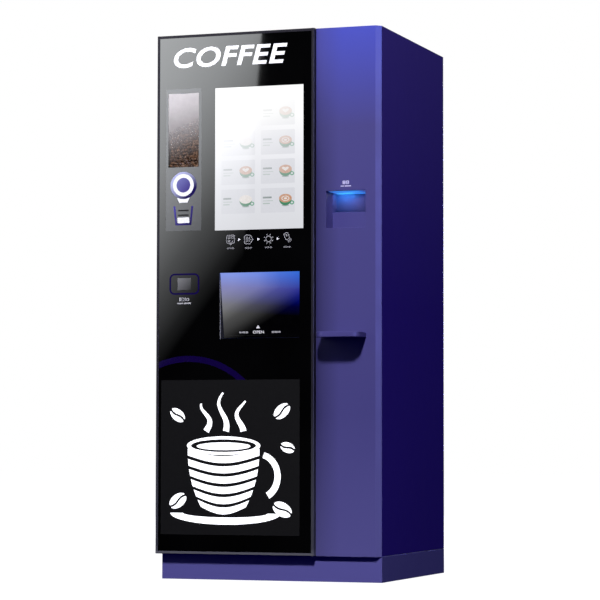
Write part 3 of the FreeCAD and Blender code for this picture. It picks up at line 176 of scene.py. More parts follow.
def column_coat():
    """The column's coat, with painted light: a painted blue light towards the top, painted shade beside the
    door, and paler near the plinth.
    """
    made = coat("violet_column_coat_painted_light", VIOLET)
    across, height = made.along(x=1), made.along(z=1)
    # Painted blue light over the upper column, stronger to the right.
    painted_blue_light = made.reckon("MULTIPLY", made.remap(height, 1.50, 1.86), made.remap(across, 0.17, 0.26, 0.4, 1.0))
    toned = made.mix(painted_blue_light, made.colour, (0.067, 0.082, 0.48, 1))
    # Painted shade beside the door: strongest at the door's edge, fading to the right and gone near the top.
    painted_door_shade = made.reckon("MULTIPLY", made.remap(across, 0.17, 0.25, 0.48, 0.0),
                         made.remap(height, 1.75, 1.35))
    toned = made.mix(painted_door_shade, toned, (0.0, 0.0, 0.0, 1))
    paler = made.remap(height, 0.55, 0.10, 0.0, 0.36)
    made.set("Base Color", made.mix(paler, toned, (0.15, 0.14, 0.40, 1)))
    return made


def side_coat():
    """The right side's coat, a darker shaded copy of the violet coat as painted shade, paler towards the top
    as painted light.
    """
    made = coat("violet_side_coat_painted_shade", (0.027, 0.010, 0.250, 1))
    # Painted light: paler towards the top.
    up = made.remap(made.along(z=1), 0.9, 1.8)
    made.set("Base Color", made.mix(up, made.colour, (0.060, 0.040, 0.290, 1)))
    return made


def galvanised():
    """Galvanised sheet with spangles about 11 mm across."""
    made = Finish("galvanised_sheet", Metallic=0.85)
    cells = made.add("TexVoronoi", {"Vector": made.place, "Scale": 90.0})
    tone = made.remap(cells.outputs["Color"], 0.0, 1.0)
    made.set("Base Color", made.mix(tone, (0.42, 0.43, 0.45, 1), (0.60, 0.61, 0.63, 1)))
    made.set("Roughness", made.remap(tone, 0, 1, 0.32, 0.5))
    made.relief(made.noise(300.0, 2.0), 0.00002, 0.001)
    return made


def glass_black():
    """Back-printed glass: near-black under a polished face with faint wipe marks."""
    made = Finish("black_door_glass", IOR=1.5)
    dark, pale = (0.0006, 0.0006, 0.0007, 1), (0.0016, 0.0016, 0.0019, 1)
    made.set("Base Color", made.mix(made.noise(3.0), dark, pale))
    made.set("Roughness", made.noise(7.0, 5.0, (1, 1, 0.35), (0.015, 0.035)))
    made.relief(made.noise(2.2, 1.0), 0.00004)
    return made


def alloy():
    """Dark anodised rails, paler towards the plinth and palest on the bottom rail, as a painted reflection.
    """
    made = finish("anodised_rail", (0.011, 0.0095, 0.016, 1), 0.12, 4.0, (0.32, 0.42), (700.0, 0.00001),
                  worn=1.5, streak=(30, 1, 1), Specular_IOR_Level=0.08)
    height = made.along(z=1)
    # Painted reflection: paler towards the plinth, palest on the bottom rail.
    paler = made.mix(made.remap(height, 0.60, 0.25), made.colour, (0.045, 0.045, 0.058, 1))
    made.set("Base Color", made.mix(made.remap(height, 0.11, 0.09), paler, (0.10, 0.10, 0.118, 1)))
    return made


def screen_light(made):
    """The lit background of the screen: white above, cooler and dimmer below."""
    low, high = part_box("display_module")
    up = made.remap(made.along(z=1), low.z, high.z)
    return made.ramp(up, [(0.0, srgb(216, 217, 222)), (0.32, srgb(226, 227, 232)),
                          (0.62, srgb(244, 244, 248)), (0.78, (1, 1, 1)), (1.0, (1, 1, 1))])


def screen_face(name):
    """The dark, polished face of the display, before it is lit."""
    made = Finish(name, IOR=1.5, Emission_Strength=1.0)
    made.set("Base Color", made.mix(made.noise(40.0), (0.004, 0.004, 0.005, 1), (0.007, 0.007, 0.008, 1)))
    made.set("Roughness", made.noise(30.0, out=(0.03, 0.06)))
    return made


def lit_screen():
    made = screen_face("lit_screen")
    made.set("Emission Color", screen_light(made))
    return made


def screen_ink(name, dark, light, fade=1.0):
    """Ink of the screen's menu: towards the upper left it washes out into the backlight's colour, as a
    painted glare.
    """
    made = screen_face(name)
    own = made.mix(made.noise(160.0), dark, light)
    # Painted glare over the upper left of the menu.
    painted_glare = made.remap(made.along(x=-0.6, z=1), 1.225, 1.62, 0.03, fade)
    made.set("Emission Color", made.mix(painted_glare, own, screen_light(made)))
    return made


def ink(name, colour, glow=0.0, drift=0.06, rough=(0.03, 0.07), gloss=0.5):
    """Screen-printed ink behind the gloss of the glass; where glow is set it also emits its own colour,
    painted light that makes it brighter than the lamps do.
    """
    made = Finish(name, IOR=1.5, Emission_Strength=glow, Specular_IOR_Level=gloss)
    tone = made.mix(made.noise(120.0, 4.0), shade(colour, 1 - drift), shade(colour, 1 + drift))
    made.set("Base Color", tone)
    if glow:
        made.set("Emission Color", tone)
    made.set("Roughness", made.noise(25.0, 3.0, out=rough))
    return made


# The share of x, and of -z, in the direction that slanted inks change along.
SLANT = 0.7


def slanted_ink(name, centre, reach, first, second, glow=0.0, gloss=0.03):
    """Ink that turns from first, at the upper left, to second, at the lower right."""
    made = Finish(name, IOR=1.5, Emission_Strength=glow, Specular_IOR_Level=gloss)
    middle = SLANT * centre[0] - SLANT * centre[1]
    slant = made.remap(made.along(x=SLANT, z=-SLANT), middle - reach, middle + reach)
    tone = made.mix(slant, first, second)
    speckled = made.mix(made.noise(300.0, 2.0, out=(0.0, 0.08)), tone, shade(second, 0.6))
    made.set("Base Color", speckled)
    if glow:
        made.set("Emission Color", speckled)
    made.set("Roughness", made.noise(25.0, 3.0, out=(0.03, 0.07)))
    return made


def clear_lens():
    """The bean window: clear below, with a white veil that thickens towards the top as a painted reflection
    of glare.
    """
    low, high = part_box("bean_window")
    made = Finish("bean_window_lens", IOR=1.5, Specular_IOR_Level=0.02)
    made.set("Base Color", made.mix(made.noise(60.0), (0.80, 0.765, 0.745, 1), (0.88, 0.84, 0.82, 1)))
    # Painted reflection: a white veil, thickest at the top.
    up = made.remap(made.along(x=-0.35, z=1), low.z + 0.10, high.z + 0.11)
    painted_glare_veil = made.ramp(up, [(t, (a,) * 3) for t, a in ((0.12, 0.0), (0.30, 0.06), (0.50, 0.22), (0.70, 0.49),
                                                     (0.92, 0.84), (1.0, 0.92))])
    made.set("Alpha", painted_glare_veil)
    made.set("Roughness", made.noise(30.0, 3.0, out=(0.03, 0.06)))
    return made


def smoked_flap():
    """Smoked acrylic with painted light in its emission: a grey glow that grows towards the upper left, and a
    blue glow along its top edge from the chamber behind.
    """
    low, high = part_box("pickup_flap")
    # How much the painted grey glow leans to the right, and the height above which it no longer brightens.
    lean, cap = 0.55, 0.972
    made = Finish("smoked_acrylic_painted_glow", IOR=1.49, Alpha=0.95, Emission_Strength=1.0, Specular_IOR_Level=0.3)
    slant = made.reckon("ADD", made.reckon("MINIMUM", made.along(z=1), cap), made.along(x=-lean))
    painted_grey_glow = made.ramp(made.remap(slant, 0.74 - lean * low.x, 1.02 - lean * low.x),
                     [(t, (v,) * 3) for t, v in ((0.12, 0.0), (0.19, 0.008), (0.245, 0.023), (0.30, 0.041),
                                                 (0.41, 0.070), (0.50, 0.125), (0.57, 0.175), (0.75, 0.235),
                                                 (1.0, 0.24))])
    # Painted blue glow along the top edge.
    blue = made.ramp(made.remap(made.along(x=0.05, z=1), low.z + 0.075, high.z),
                     [(0.0, (0, 0, 0)), (0.20, (0, 0, 0.030)), (0.58, (0, 0.006, 0.26)),
                      (0.88, (0, 0.085, 0.58)), (1.0, (0, 0.12, 0.66))])
    made.set("Emission Color", made.add("VectorMath", {0: painted_grey_glow, 1: blue}, operation="ADD").outputs["Vector"])
    made.set("Base Color", made.mix(made.noise(30.0), (0.0006, 0.0006, 0.001, 1), (0.0014, 0.0014, 0.002, 1)))
    made.set("Roughness", made.noise(20.0, 3.0, out=(0.05, 0.10)))
    return made


def brushed():
    """Steel brushed level."""
    return finish("brushed_steel", (0.55, 0.55, 0.57, 1), 0.06, 6.0, (0.24, 0.38), (260.0, 0.00002), 0.0008,
                  worn=0.2, streak=(1, 1, 14), Metallic=1.0)


def beans_material():
    """Roasted coffee, in the shade that each bean's tone gives."""
    made = Finish("roasted_beans", IOR=1.45, Specular_IOR_Level=0.16)
    tone = made.add("Attribute", attribute_name="tone").outputs["Fac"]
    body = made.mix(tone, (0.030, 0.014, 0.007, 1), (0.165, 0.085, 0.045, 1))
    made.set("Base Color", made.mix(made.noise(900.0, 4.0, out=(0.0, 0.5)), body, (0.02, 0.009, 0.005, 1)))
    made.set("Roughness", made.noise(260.0, 3.0, out=(0.30, 0.5)))
    made.relief(made.noise(700.0, 3.0), 0.0002)
    return made


FINISHES = {
    "painted_panel": coat("violet_powder_coat", VIOLET),
    "zinc_sheet": galvanised(),
    "door_alloy": alloy(),
    "black_glass": glass_black(),
    "door_sheet": finish("door_inner_sheet", (0.16, 0.16, 0.18, 1), 0.05, 3.0, (0.4, 0.5), worn=0.4),
    "screen": lit_screen(),
    "scanner": slanted_ink("scanner_window", (-0.2925, 0.9875), 0.030, (0.21, 0.21, 0.215, 1),
                           (0.022, 0.022, 0.024, 1), 0.0, 0.3),
    "clear_lens": clear_lens(),
    "smoked_flap": smoked_flap(),
    "bean_plastic": finish("bean_box_plastic", (0.05, 0.038, 0.032, 1), rough=(0.45, 0.6)),
    "black_plastic": finish("black_plastic", (0.022, 0.022, 0.025, 1),
                            rough=(0.42, 0.58), grain=(900.0, 0.00005)),
    "rubber": finish("gasket_rubber", (0.015, 0.015, 0.015, 1), rough=(0.6, 0.75), grain=(500.0, 0.00008)),
    "steel": brushed(),
    "magnet_case": finish("magnet_case", (0.42, 0.42, 0.44, 1), rough=(0.38, 0.5), worn=0.3),
    "chamber_liner": finish("chamber_liner", (0.035, 0.035, 0.045, 1),
                            rough=(0.25, 0.35), grain=(200.0, 0.00003)),
    "clear_plastic": finish("natural_plastic", (0.66, 0.68, 0.70, 1), rough=(0.25, 0.4), Alpha=0.42),
    "white_plastic": finish("white_plastic", (0.72, 0.72, 0.74, 1),
                            rough=(0.35, 0.5), grain=(800.0, 0.00003)),
    "waste_plastic": finish("waste_bin_plastic", (0.10, 0.10, 0.11, 1),
                            rough=(0.5, 0.62), grain=(600.0, 0.00008)),
    "control_case": finish("control_case", (0.30, 0.31, 0.33, 1), rough=(0.4, 0.5), worn=0.4),
    "foot": finish("levelling_foot", (0.025, 0.025, 0.025, 1), rough=(0.55, 0.7), grain=(400.0, 0.0001)),
}
# Copies of the coat for single nodes that carry painted light and shade: the column's coat, the right side's
# coat, and a brighter lit copy for the plinth.
BY_NODE = {"column_cover": column_coat(), "right_side_panel": side_coat(),
           "kick_plates": coat("violet_plinth_coat_painted_light", (0.100, 0.092, 0.315, 1))}
for row in frame["record"]["subparts"]:
    mesh = frame["nodes"][row["node"]].data
    mesh.materials.clear()
    mesh.materials.append(BY_NODE.get(row["node"], FINISHES[row["material_slot"]]).material)


# ---- pieces ----

def in_scene(name, data):
    thing = bpy.data.objects.new(name, data)
    bpy.context.scene.collection.objects.link(thing)
    return thing


def piece(name, mesh, made, body, smooth=False):
    """An object that rides on a body, with its finish."""
    thing = in_scene(name, mesh)
    mesh.materials.append(made.material)
    for face in mesh.polygons:
        face.use_smooth = smooth
    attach(thing, body)
    return thing


def from_bmesh(name, made_mesh):
    mesh = bpy.data.meshes.new(name)
    bmesh.ops.recalc_face_normals(made_mesh, faces=made_mesh.faces)
    made_mesh.to_mesh(mesh)
    made_mesh.free()
    return mesh


def extruded(bm, move):
    """Extrude every face of bm, and carry the new ends along."""
    grown = bmesh.ops.extrude_face_region(bm, geom=bm.faces[:])["geom"]
    bmesh.ops.translate(bm, vec=move, verts=[v for v in grown if isinstance(v, bmesh.types.BMVert)])


def laid(bm, plane, lift, thick, place):
    """Thicken flat shapes drawn in millimetres, and lay them lift above the plane or as place says."""
    extruded(bm, (0, thick, 0))
    for v in bm.verts:
        if place is None:
            v.co = (LEFT + v.co.x * MM, plane + (v.co.y - lift - thick) * MM, v.co.z * MM)
        else:
            v.co = place @ Vector((v.co.x * MM, (v.co.y - lift - thick) * MM, v.co.z * MM))


# A print's thickness, and how far it stands clear of what it is printed on.
INK_MM = LIFT_MM = 0.15


def printed(name, shapes, made, body="door", plane=GLASS, lift=LIFT_MM, thick=INK_MM,
            place=None):
    """Thin printed shapes, each an outline and its holes.

    They are in millimetres from the cabinet's left face and the floor, and face -Y at the plane. With place
    given they lie as it says instead: it turns their own x, y and z into the machine's."""
    bm = bmesh.new()
    for loops in shapes:
        edges = []
        for loop in loops:
            corners = [bm.verts.new((x, 0.0, z)) for x, z in loop]
            edges += [bm.edges.new((corners[i - 1], corners[i])) for i in range(len(corners))]
        bmesh.ops.triangle_fill(bm, edges=edges, use_beauty=True)
    laid(bm, plane, lift, thick, place)
    return piece(name, from_bmesh(name, bm), made, body)


def rounded(x0, x1, z0, z1, radius):
    """A rectangle's outline with rounded corners."""
    points, steps = [], 6
    for cx, cz, start in ((x1 - radius, z1 - radius, 0), (x0 + radius, z1 - radius, 90),
                          (x0 + radius, z0 + radius, 180), (x1 - radius, z0 + radius, 270)):
        for step in range(steps + 1):
            a = math.radians(start + 90 * step / steps)
            points.append((cx + radius * math.cos(a), cz + radius * math.sin(a)))
    return points


def ellipse(cx, cz, rx, rz=None, steps=48, start=0.0, turn=360.0):
    """An ellipse, or an arc of one where turn is under 360 degrees; a circle where rz is left out."""
    rz = rx if rz is None else rz
    last = steps if turn < 360 else steps - 1
    angles = [math.radians(start + turn * i / steps) for i in range(last + 1)]
    return [(cx + rx * math.cos(a), cz + rz * math.sin(a)) for a in angles]


def frame_band(x0, x1, z0, z1, radius, width):
    """A rounded frame: its outline and its hole."""
    return [rounded(x0, x1, z0, z1, radius),
            rounded(x0 + width, x1 - width, z0 + width, z1 - width, max(radius - width, 0.2))]


def stroke(points, width, end=None):
    """A line of that width along the points; it tapers to the width end where that is given."""
    end = width if end is None else end
    left, right = [], []
    for i, (x, z) in enumerate(points):
        before, after = points[max(i - 1, 0)], points[min(i + 1, len(points) - 1)]
        dx, dz = after[0] - before[0], after[1] - before[1]
        length = math.hypot(dx, dz) or 1.0
        half = (width + (end - width) * i / (len(points) - 1)) / 2
        left.append((x - dz / length * half, z + dx / length * half))
        right.append((x + dz / length * half, z - dx / length * half))
    return left + right[::-1]


def lettering(name, word, x, z, width, height, made, body="door", lift=LIFT_MM, shear=0.0,
              weight=0.0, place=None):
    """A plain word whose lower left corner is at x, z, in millimetres, stretched to a width and a height."""
    curve = bpy.data.curves.new(name, "FONT")
    curve.body, curve.shear, curve.offset, curve.space_character = word, shear, weight, 1.06
    curve.resolution_u = 5
    text = in_scene(name + "_text", curve)
    bpy.context.view_layer.update()
    mesh = bpy.data.meshes.new_from_object(text.evaluated_get(bpy.context.evaluated_depsgraph_get()))
    bpy.data.objects.remove(text)
    bm = bmesh.new()
    bm.from_mesh(mesh)
    bmesh.ops.remove_doubles(bm, verts=bm.verts, dist=1e-5)
    low = [min(v.co[i] for v in bm.verts) for i in (0, 1)]
    high = [max(v.co[i] for v in bm.verts) for i in (0, 1)]
    for v in bm.verts:
        across = x + (v.co.x - low[0]) / (high[0] - low[0]) * width
        up = z + (v.co.y - low[1]) / (high[1] - low[1]) * height
        v.co = (across, 0.0, up)
    laid(bm, GLASS, lift, INK_MM, place)
    return piece(name, from_bmesh(name, bm), made, body)


def in_mm(node, rebate=0):
    """A node's box less a rebate, in millimetres: x0 and x1 from the cabinet's left face, z0 and z1 up."""
    low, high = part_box(node)
    return ((low.x - LEFT) / MM + rebate, (high.x - LEFT) / MM - rebate, low.z / MM + rebate,
            high.z / MM - rebate)


# How far each module's edge lies behind the glass, past its cut-out.
LENS_REBATE, SCREEN_REBATE, SCANNER_REBATE = 6, 10, 10


# The glow values given to these inks are painted light.
WHITE_INK = ink("white_ink", (0.86, 0.86, 0.88, 1), 0.12)
GREY_INK = ink("grey_caption_ink", (0.42, 0.42, 0.44, 1), 0.05)
INDIGO_INK = ink("indigo_ink", (0.006, 0.002, 0.050, 1), 0.25, gloss=0.02)
ICON_INK = ink("icon_ink", (0.30, 0.30, 0.31, 1), 0.06, gloss=0.1)
NOTE_INK = ink("note_ink", (0.20, 0.20, 0.21, 1), 0.04, gloss=0.1)
# White that glows with painted light, for the picture on the lower door.
PAINTED_GLOW_ART = ink("painted_glow_white", (0.93, 0.94, 0.95, 1), 0.95)
ART_GROUND = ink("art_ground", (0.0105, 0.0105, 0.0108, 1), 0.0, 0.05, (0.25, 0.35), 0.0)
VEIL_INK = ink("smoked_panel_print", (0.056, 0.058, 0.062, 1), 0.0, 0.05)

# The panel around the bean window, with the brewing pictogram under it.
lens_x0, lens_x1, lens_z0, lens_z1 = in_mm("bean_window", LENS_REBATE)
mid_x = (lens_x0 + lens_x1) / 2
printed("window_panel_print", [[rounded(lens_x0 - 8, lens_x1 + 10, lens_z0 - 215, lens_z1 + 15, 3),
                                rounded(lens_x0, lens_x1, lens_z0, lens_z1, 2)]], VEIL_INK, lift=0.05,
        thick=0.1)
dial_z = lens_z0 - 61
dial = (LEFT + mid_x * MM, dial_z * MM)
# The rim's slant paints shading: light at its upper left, shade at its lower right.
printed("dial_rim", [[ellipse(mid_x + 0.8, dial_z - 0.8, 47.5, 46), ellipse(mid_x, dial_z, 37)]],
        slanted_ink("dial_rim_painted_shading", dial, 0.036, srgb(196, 200, 240), srgb(22, 6, 84)), lift=0.2, thick=0.3)
printed("dial_ring", [[ellipse(mid_x, dial_z, 37.5), ellipse(mid_x, dial_z, 25)]], WHITE_INK, lift=0.2,
        thick=0.35)
printed("dial_face", [[ellipse(mid_x, dial_z, 25.2)]],
        slanted_ink("dial_face_ink", dial, 0.022, srgb(118, 118, 182), srgb(76, 66, 142)), lift=0.2,
        thick=0.25)
printed("dial_nozzle", [[[(mid_x - 23, dial_z - 43), (mid_x - 15, dial_z - 59), (mid_x + 15, dial_z - 59),
                          (mid_x + 23, dial_z - 43)]]], WHITE_INK)
cup_top, cup_low = dial_z - 71, dial_z - 135
printed("cup_outline", [[[(mid_x - 36, cup_top), (mid_x - 28, cup_low), (mid_x + 29, cup_low),
                          (mid_x + 36, cup_top), (mid_x + 29, cup_top), (mid_x + 23.5, cup_low + 6.5),
                          (mid_x - 22.5, cup_low + 6.5), (mid_x - 29, cup_top)]]],
        slanted_ink("cup_outline_ink", (dial[0], (cup_low + 32) * MM), 0.045, srgb(84, 76, 168),
                    srgb(22, 4, 78)))
printed("cup_fill", [[rounded(mid_x - 21, mid_x + 22, cup_low + 7, cup_low + 26, 3)]], WHITE_INK)
printed("cup_levels", [[rounded(mid_x - 19, mid_x + 20, cup_low + 31, cup_low + 36, 2)],
                       [rounded(mid_x - 19, mid_x + 20, cup_low + 47, cup_low + 52, 2)]],
        ink("level_ink", (0.020, 0.020, 0.022, 1), gloss=0.02))

# The screen's menu of drinks.
sx0, _, sz0, sz1 = in_mm("display_module", SCREEN_REBATE)
# Each drink's card, its step to the next, and the table of cards.
CARD_W, CARD_H, PITCH_X, PITCH_Z = 120.0, 82.0, 141.0, 97.3
MENU_ROWS, MENU_COLUMNS = 4, 2


def leaf_mark(cx, cz):
    """A leaf drawn in the foam."""
    return [(cx + 12 * math.sin(t) ** 3,
             cz + 1.5 + 0.62 * (10 * math.cos(t) - 4.5 * math.cos(2 * t) - 1.5 * math.cos(3 * t)))
            for t in (math.tau * i / 36 for i in range(36))]


cards, bowls, handles, coffees, foams, shadows, heads, notes = [], [], [], [], [], [], [], []
for row_number in range(MENU_ROWS):
    for column in range(MENU_COLUMNS):
        x = sx0 + 23 + column * PITCH_X
        z = sz1 - 51 - row_number * PITCH_Z
        cards.append([rounded(x, x + CARD_W, z - CARD_H, z, 3)])
        cx, cz = x + 87, z - 35
        bowls.append([ellipse(cx, cz - 3, 22, 21, 24, 180, 180)])
        handles.append([ellipse(cx + 23, cz - 15, 8, 7, 20), ellipse(cx + 23, cz - 15, 4, 3.4, 20)])
        shadows.append([ellipse(cx, cz - 24, 13, 3, 20)])
        coffee = column == 1 or row_number == 2
        (coffees if coffee else foams).append([ellipse(cx, cz, 22.5, 14.3, 40)])
        if coffee and row_number % 2:
            foams.append([ellipse(cx, cz - 0.5, 14, 8.5, 30), ellipse(cx, cz - 0.5, 11, 6.2, 30)])
            foams.append([ellipse(cx, cz - 0.5, 6, 3, 24)])
        elif coffee:
            foams.append([leaf_mark(cx, cz)])
        length = 27 + 9 * random.random()
        heads.append([rounded(x + 7, x + 7 + length, z - 34, z - 28, 1.5)])
        notes.append([rounded(x + 7, x + 7 + length * 1.15, z - 43.5, z - 41, 1)])
        notes.append([rounded(x + 7, x + 7 + length * 0.8, z - 53, z - 49, 1)])
for name, shapes, ink_name, dark, pale, fade, lift in (
        ("menu_cards", cards, "menu_card_ink", (211, 212, 218), (214, 215, 221), 1.2, 0.03),
        ("menu_cup_shadows", shadows, "menu_shadow_ink", (150, 160, 160), (165, 172, 172), 1.0, 0.06),
        ("menu_cup_handles", handles, "menu_handle_ink", (66, 140, 104), (96, 166, 130), 1.0, 0.08),
        ("menu_cup_bowls", bowls, "menu_bowl_ink", (44, 118, 82), (66, 138, 100), 1.0, 0.11),
        ("menu_coffees", coffees, "menu_coffee_ink", (186, 134, 104), (206, 160, 130), 1.0, 0.14),
        ("menu_foams", foams, "menu_foam_ink", (222, 214, 208), (234, 228, 224), 1.0, 0.18),
        ("menu_headings", heads, "menu_heading_ink", (120, 134, 132), (142, 152, 150), 1.0, 0.06),
        ("menu_notes", notes, "menu_note_ink", (168, 184, 178), (182, 192, 188), 1.0, 0.06)):
    printed(name, shapes, screen_ink(ink_name, srgb(*dark), srgb(*pale), fade), lift=lift,
            thick=0.05)

# Four line icons with arrows and captions under the screen.
icon_z, caption_z = sz0 - 33, sz0 - 61
ICON_PLACES, ARROW_PLACES, SPOKES = (57, 121, 192, 258), (87, 156, 224.5), 8

# A keypad on a stand.
x = sx0 + ICON_PLACES[0]
icons = [frame_band(x - 15, x + 15, icon_z - 12, icon_z + 17, 3, 2.6),
         frame_band(x - 9, x - 1, icon_z + 3, icon_z + 12, 1, 2),
         frame_band(x + 2, x + 10, icon_z + 3, icon_z + 12, 1, 2),
         [rounded(x - 9, x - 1, icon_z - 7, icon_z - 1, 1)],
         [rounded(x + 3, x + 9, icon_z - 7, icon_z - 3, 1)],
         [[(x - 7, icon_z - 12), (x, icon_z - 18), (x + 7, icon_z - 12)]]]

# A tag.
x = sx0 + ICON_PLACES[1]
icons += [[[(x - 16, icon_z - 11), (x - 16, icon_z + 11), (x - 11, icon_z + 16), (x + 5, icon_z + 16),
            (x + 18, icon_z), (x + 5, icon_z - 16), (x - 11, icon_z - 16)],
           [(x - 13, icon_z - 10), (x - 10, icon_z - 13), (x + 4, icon_z - 13), (x + 14, icon_z),
            (x + 4, icon_z + 13), (x - 10, icon_z + 13), (x - 13, icon_z + 10)]],
          frame_band(x - 9, x - 2, icon_z - 8, icon_z + 9, 2, 2.2),
          [rounded(x + 1, x + 3.4, icon_z - 9, icon_z + 9, 1)],
          [rounded(x + 3, x + 9, icon_z - 1.2, icon_z + 1.2, 1)]]

# A wheel with spokes.
x = sx0 + ICON_PLACES[2]
icons += [[ellipse(x, icon_z, 11), ellipse(x, icon_z, 8.2)]]
for spoke in range(SPOKES):
    a = math.radians(360 / SPOKES * (spoke + 0.5))
    icons.append([stroke([(x + r * math.cos(a), icon_z + r * math.sin(a)) for r in (12.5, 17.5)], 3.2)])

# A tilted cup over three drops.
x = sx0 + ICON_PLACES[3]
tilt = Matrix.Rotation(math.radians(24), 2)
for part in ([rounded(-9, 9, -8, 18, 7), rounded(-6.2, 6.2, -5, 15.2, 4.5)], [rounded(-2, 3, 4, 12, 2)],
             [stroke([(-1, -9), (-3, -16)], 3)], [stroke([(4, -9), (3, -18)], 3)],
             [stroke([(9, -7), (9, -15)], 3)]):
    icons.append([[tuple(tilt @ Vector(p) + Vector((x, icon_z + 3))) for p in loop] for loop in part])
printed("step_icons", icons, ICON_INK)
printed("step_arrows", [[[(x - 3.5, icon_z - 5.5), (x - 3.5, icon_z + 5.5), (x + 5, icon_z)]]
                        for x in (sx0 + place for place in ARROW_PLACES)], WHITE_INK)
printed("step_captions", [[rounded(sx0 + place + start, sx0 + place + stop, caption_z - 2.6, caption_z + 2.6,
                                   0.8)]
                          for place in ICON_PLACES
                          for start, stop in ((-13, -5.5), (-4, 2.5), (4, 12))], NOTE_INK)

# The scanner's outline and caption.
cx0, cx1, cz0, cz1 = in_mm("scanner_module", SCANNER_REBATE)
printed("scanner_outline", [frame_band(cx0 - 29, cx1 + 30, cz0 - 15, cz1 + 15, 18, 5.5)], INDIGO_INK)
middle = (cx0 + cx1) / 2
printed("scanner_caption", [[rounded(middle - 18, middle - 12, cz0 - 37, cz0 - 25, 1)],
                            frame_band(middle - 10, middle + 1, cz0 - 37, cz0 - 25, 2, 2.4),
                            [rounded(middle + 3, middle + 6, cz0 - 37, cz0 - 25, 1)],
                            frame_band(middle + 8, middle + 18, cz0 - 37, cz0 - 27, 2, 2.4),
                            [rounded(middle - 25, middle - 4, cz0 - 47, cz0 - 42, 1)],
                            [rounded(middle - 1, middle + 25, cz0 - 47, cz0 - 42, 1)]], GREY_INK)

# The wordmark and the flap's prints.
door_x0, door_x1, _, door_z1 = in_mm("door_glass")
lettering("plain_wordmark", "COFFEE", door_x0 + 50, door_z1 - 103, 408, 68,
          ink("wordmark_ink", (0.92, 0.92, 0.93, 1), 0.25), shear=0.22, weight=0.022, lift=0.2)
flap_x0, flap_x1, _, _ = in_mm("pickup_flap")
# The closed flap's lean, and its hinge barrel's radius in millimetres.
FLAP_TILT, BARREL = math.radians(9.6), 4.5
axle_low, axle_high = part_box("flap_axle")
hang = Vector((LEFT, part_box("pickup_flap")[0].y + BARREL * MM, (axle_low.z + axle_high.z) / 2))
flap_face = (Matrix.Translation(hang) @ Matrix.Rotation(FLAP_TILT, 4, "X")
             @ Matrix.Translation((0, -BARREL * MM, 0)))
press_x = (flap_x0 + flap_x1) / 2 - 17
printed("flap_arrow", [[[(press_x - 7, -192), (press_x + 7, -192), (press_x, -181)]]], WHITE_INK, "flap",
        place=flap_face, lift=0.1)
lettering("flap_word", "OPEN", press_x - 19.5, -209.5, 39, 10, WHITE_INK, "flap", lift=0.1,
          weight=0.02, place=flap_face)
printed("flap_captions", [[rounded(press_x + x, press_x + x + w, -208, -202, 1)]
                          for x, w in ((-69, 9), (-58.5, 12), (-45, 8), (47, 8), (56.5, 12), (70, 9))],
        GREY_INK, "flap", place=flap_face, lift=0.1)

# The picture on the lower door, its white glowing as painted light: a coffee cup with steam and beans, on a
# dark ground.
ax0, ax1, az0, az1 = door_x0 + 9.5, door_x1 - 40, 150.0, 665.0
printed("art_ground", [[rounded(ax0, ax1, az0, az1, 1)]], ART_GROUND, lift=0.03, thick=0.1)
art, acx = [], (ax0 + ax1) / 2 - 22
# The mug's rim and half width, its bands, and how far each band sags; all in millimetres.
MUG_TOP, MUG_HALF, BANDS, BAND_PITCH, BAND_WIDTH, SAG = 436, 128, 6, 34, 23, 25


def mug_half(z):
    """Half the mug's width at a height: it narrows towards its foot."""
    return MUG_HALF * (1 - 0.40 * ((MUG_TOP - z) / 200) ** 2.2)


def mug_curve(z):
    """A line round the front of the mug, from left to right."""
    return [(acx + mug_half(z) * t, z - SAG * math.cos(t * math.pi / 2))
            for t in (i / 12 - 1 for i in range(25))]


for band_number in range(BANDS):
    top = MUG_TOP - band_number * BAND_PITCH
    art.append([mug_curve(top) + mug_curve(top - BAND_WIDTH)[::-1]])
art.append([ellipse(acx, 446, 131, 31, 60), ellipse(acx, 446, 116, 21, 60)])
art.append([ellipse(acx, 444, 96, 13, 48)])
art.append([stroke(ellipse(acx + 126, 345, 66, 72, 30, -62, 138), 23, 20)])
art.append([ellipse(acx + 6, 222, 196, 38, 40, 180, 180) + ellipse(acx + 6, 222, 150, 14, 40, 360, -180)])
for number, (offset, rise) in enumerate(((-62, 92), (0, 128), (62, 100))):
    wave = [(acx + offset + 20 * math.sin(t * 5.2 + number) * (0.5 + t / 2), 494 + rise * t)
            for t in [i / 22 for i in range(23)]]
    art.append([stroke(wave, 22, 6)])


def bean_mark(cx, cz, long, short, angle):
    """A bean in two halves, either side of an S-shaped crease."""
    turn = Matrix.Rotation(math.radians(angle), 2)
    crease = [(long * t, 0.16 * short * math.sin(t * math.pi)) for t in [i / 10 - 1 for i in range(21)]]
    halves, half_gap = [], 3.2
    for side in (1, -1):
        rim = [(x, z + side * half_gap) for x, z in crease if abs(x) < long * 0.94]
        arc = [(long * math.cos(a), side * short * math.sin(a))
               for a in (math.pi * i / 24 for i in range(2, 23))]
        halves.append([[tuple(turn @ Vector(p) + Vector((cx, cz))) for p in rim + arc]])
    return halves


for spot in ((ax0 + 62, 262, 34, 22, 35), (ax1 - 60, 236, 36, 23, -28), (ax1 - 62, 560, 33, 21, 40),
             (ax0 + 60, 548, 30, 19, -38), (ax1 - 42, 440, 26, 17, -20)):
    art += bean_mark(*spot)
printed("art_cup_picture", art, PAINTED_GLOW_ART, lift=0.16, thick=0.12)

# The ring behind the picture, cut off by the picture's top and the glass's left edge.
RING_X, RING_Z, RING_RADIUS, RING_WIDTH = 105.0, 446.0, 290.0, 20.0


def ring_side(radius):
    """An arc of the ring from the picture's top to the glass's left edge."""
    first = math.asin((az1 - RING_Z) / radius)
    last = math.acos((door_x0 + 0.5 - RING_X) / radius)
    angles = [first + (last - first) * i / 40 for i in range(41)]
    return [(RING_X + radius * math.cos(a), RING_Z + radius * math.sin(a)) for a in angles]


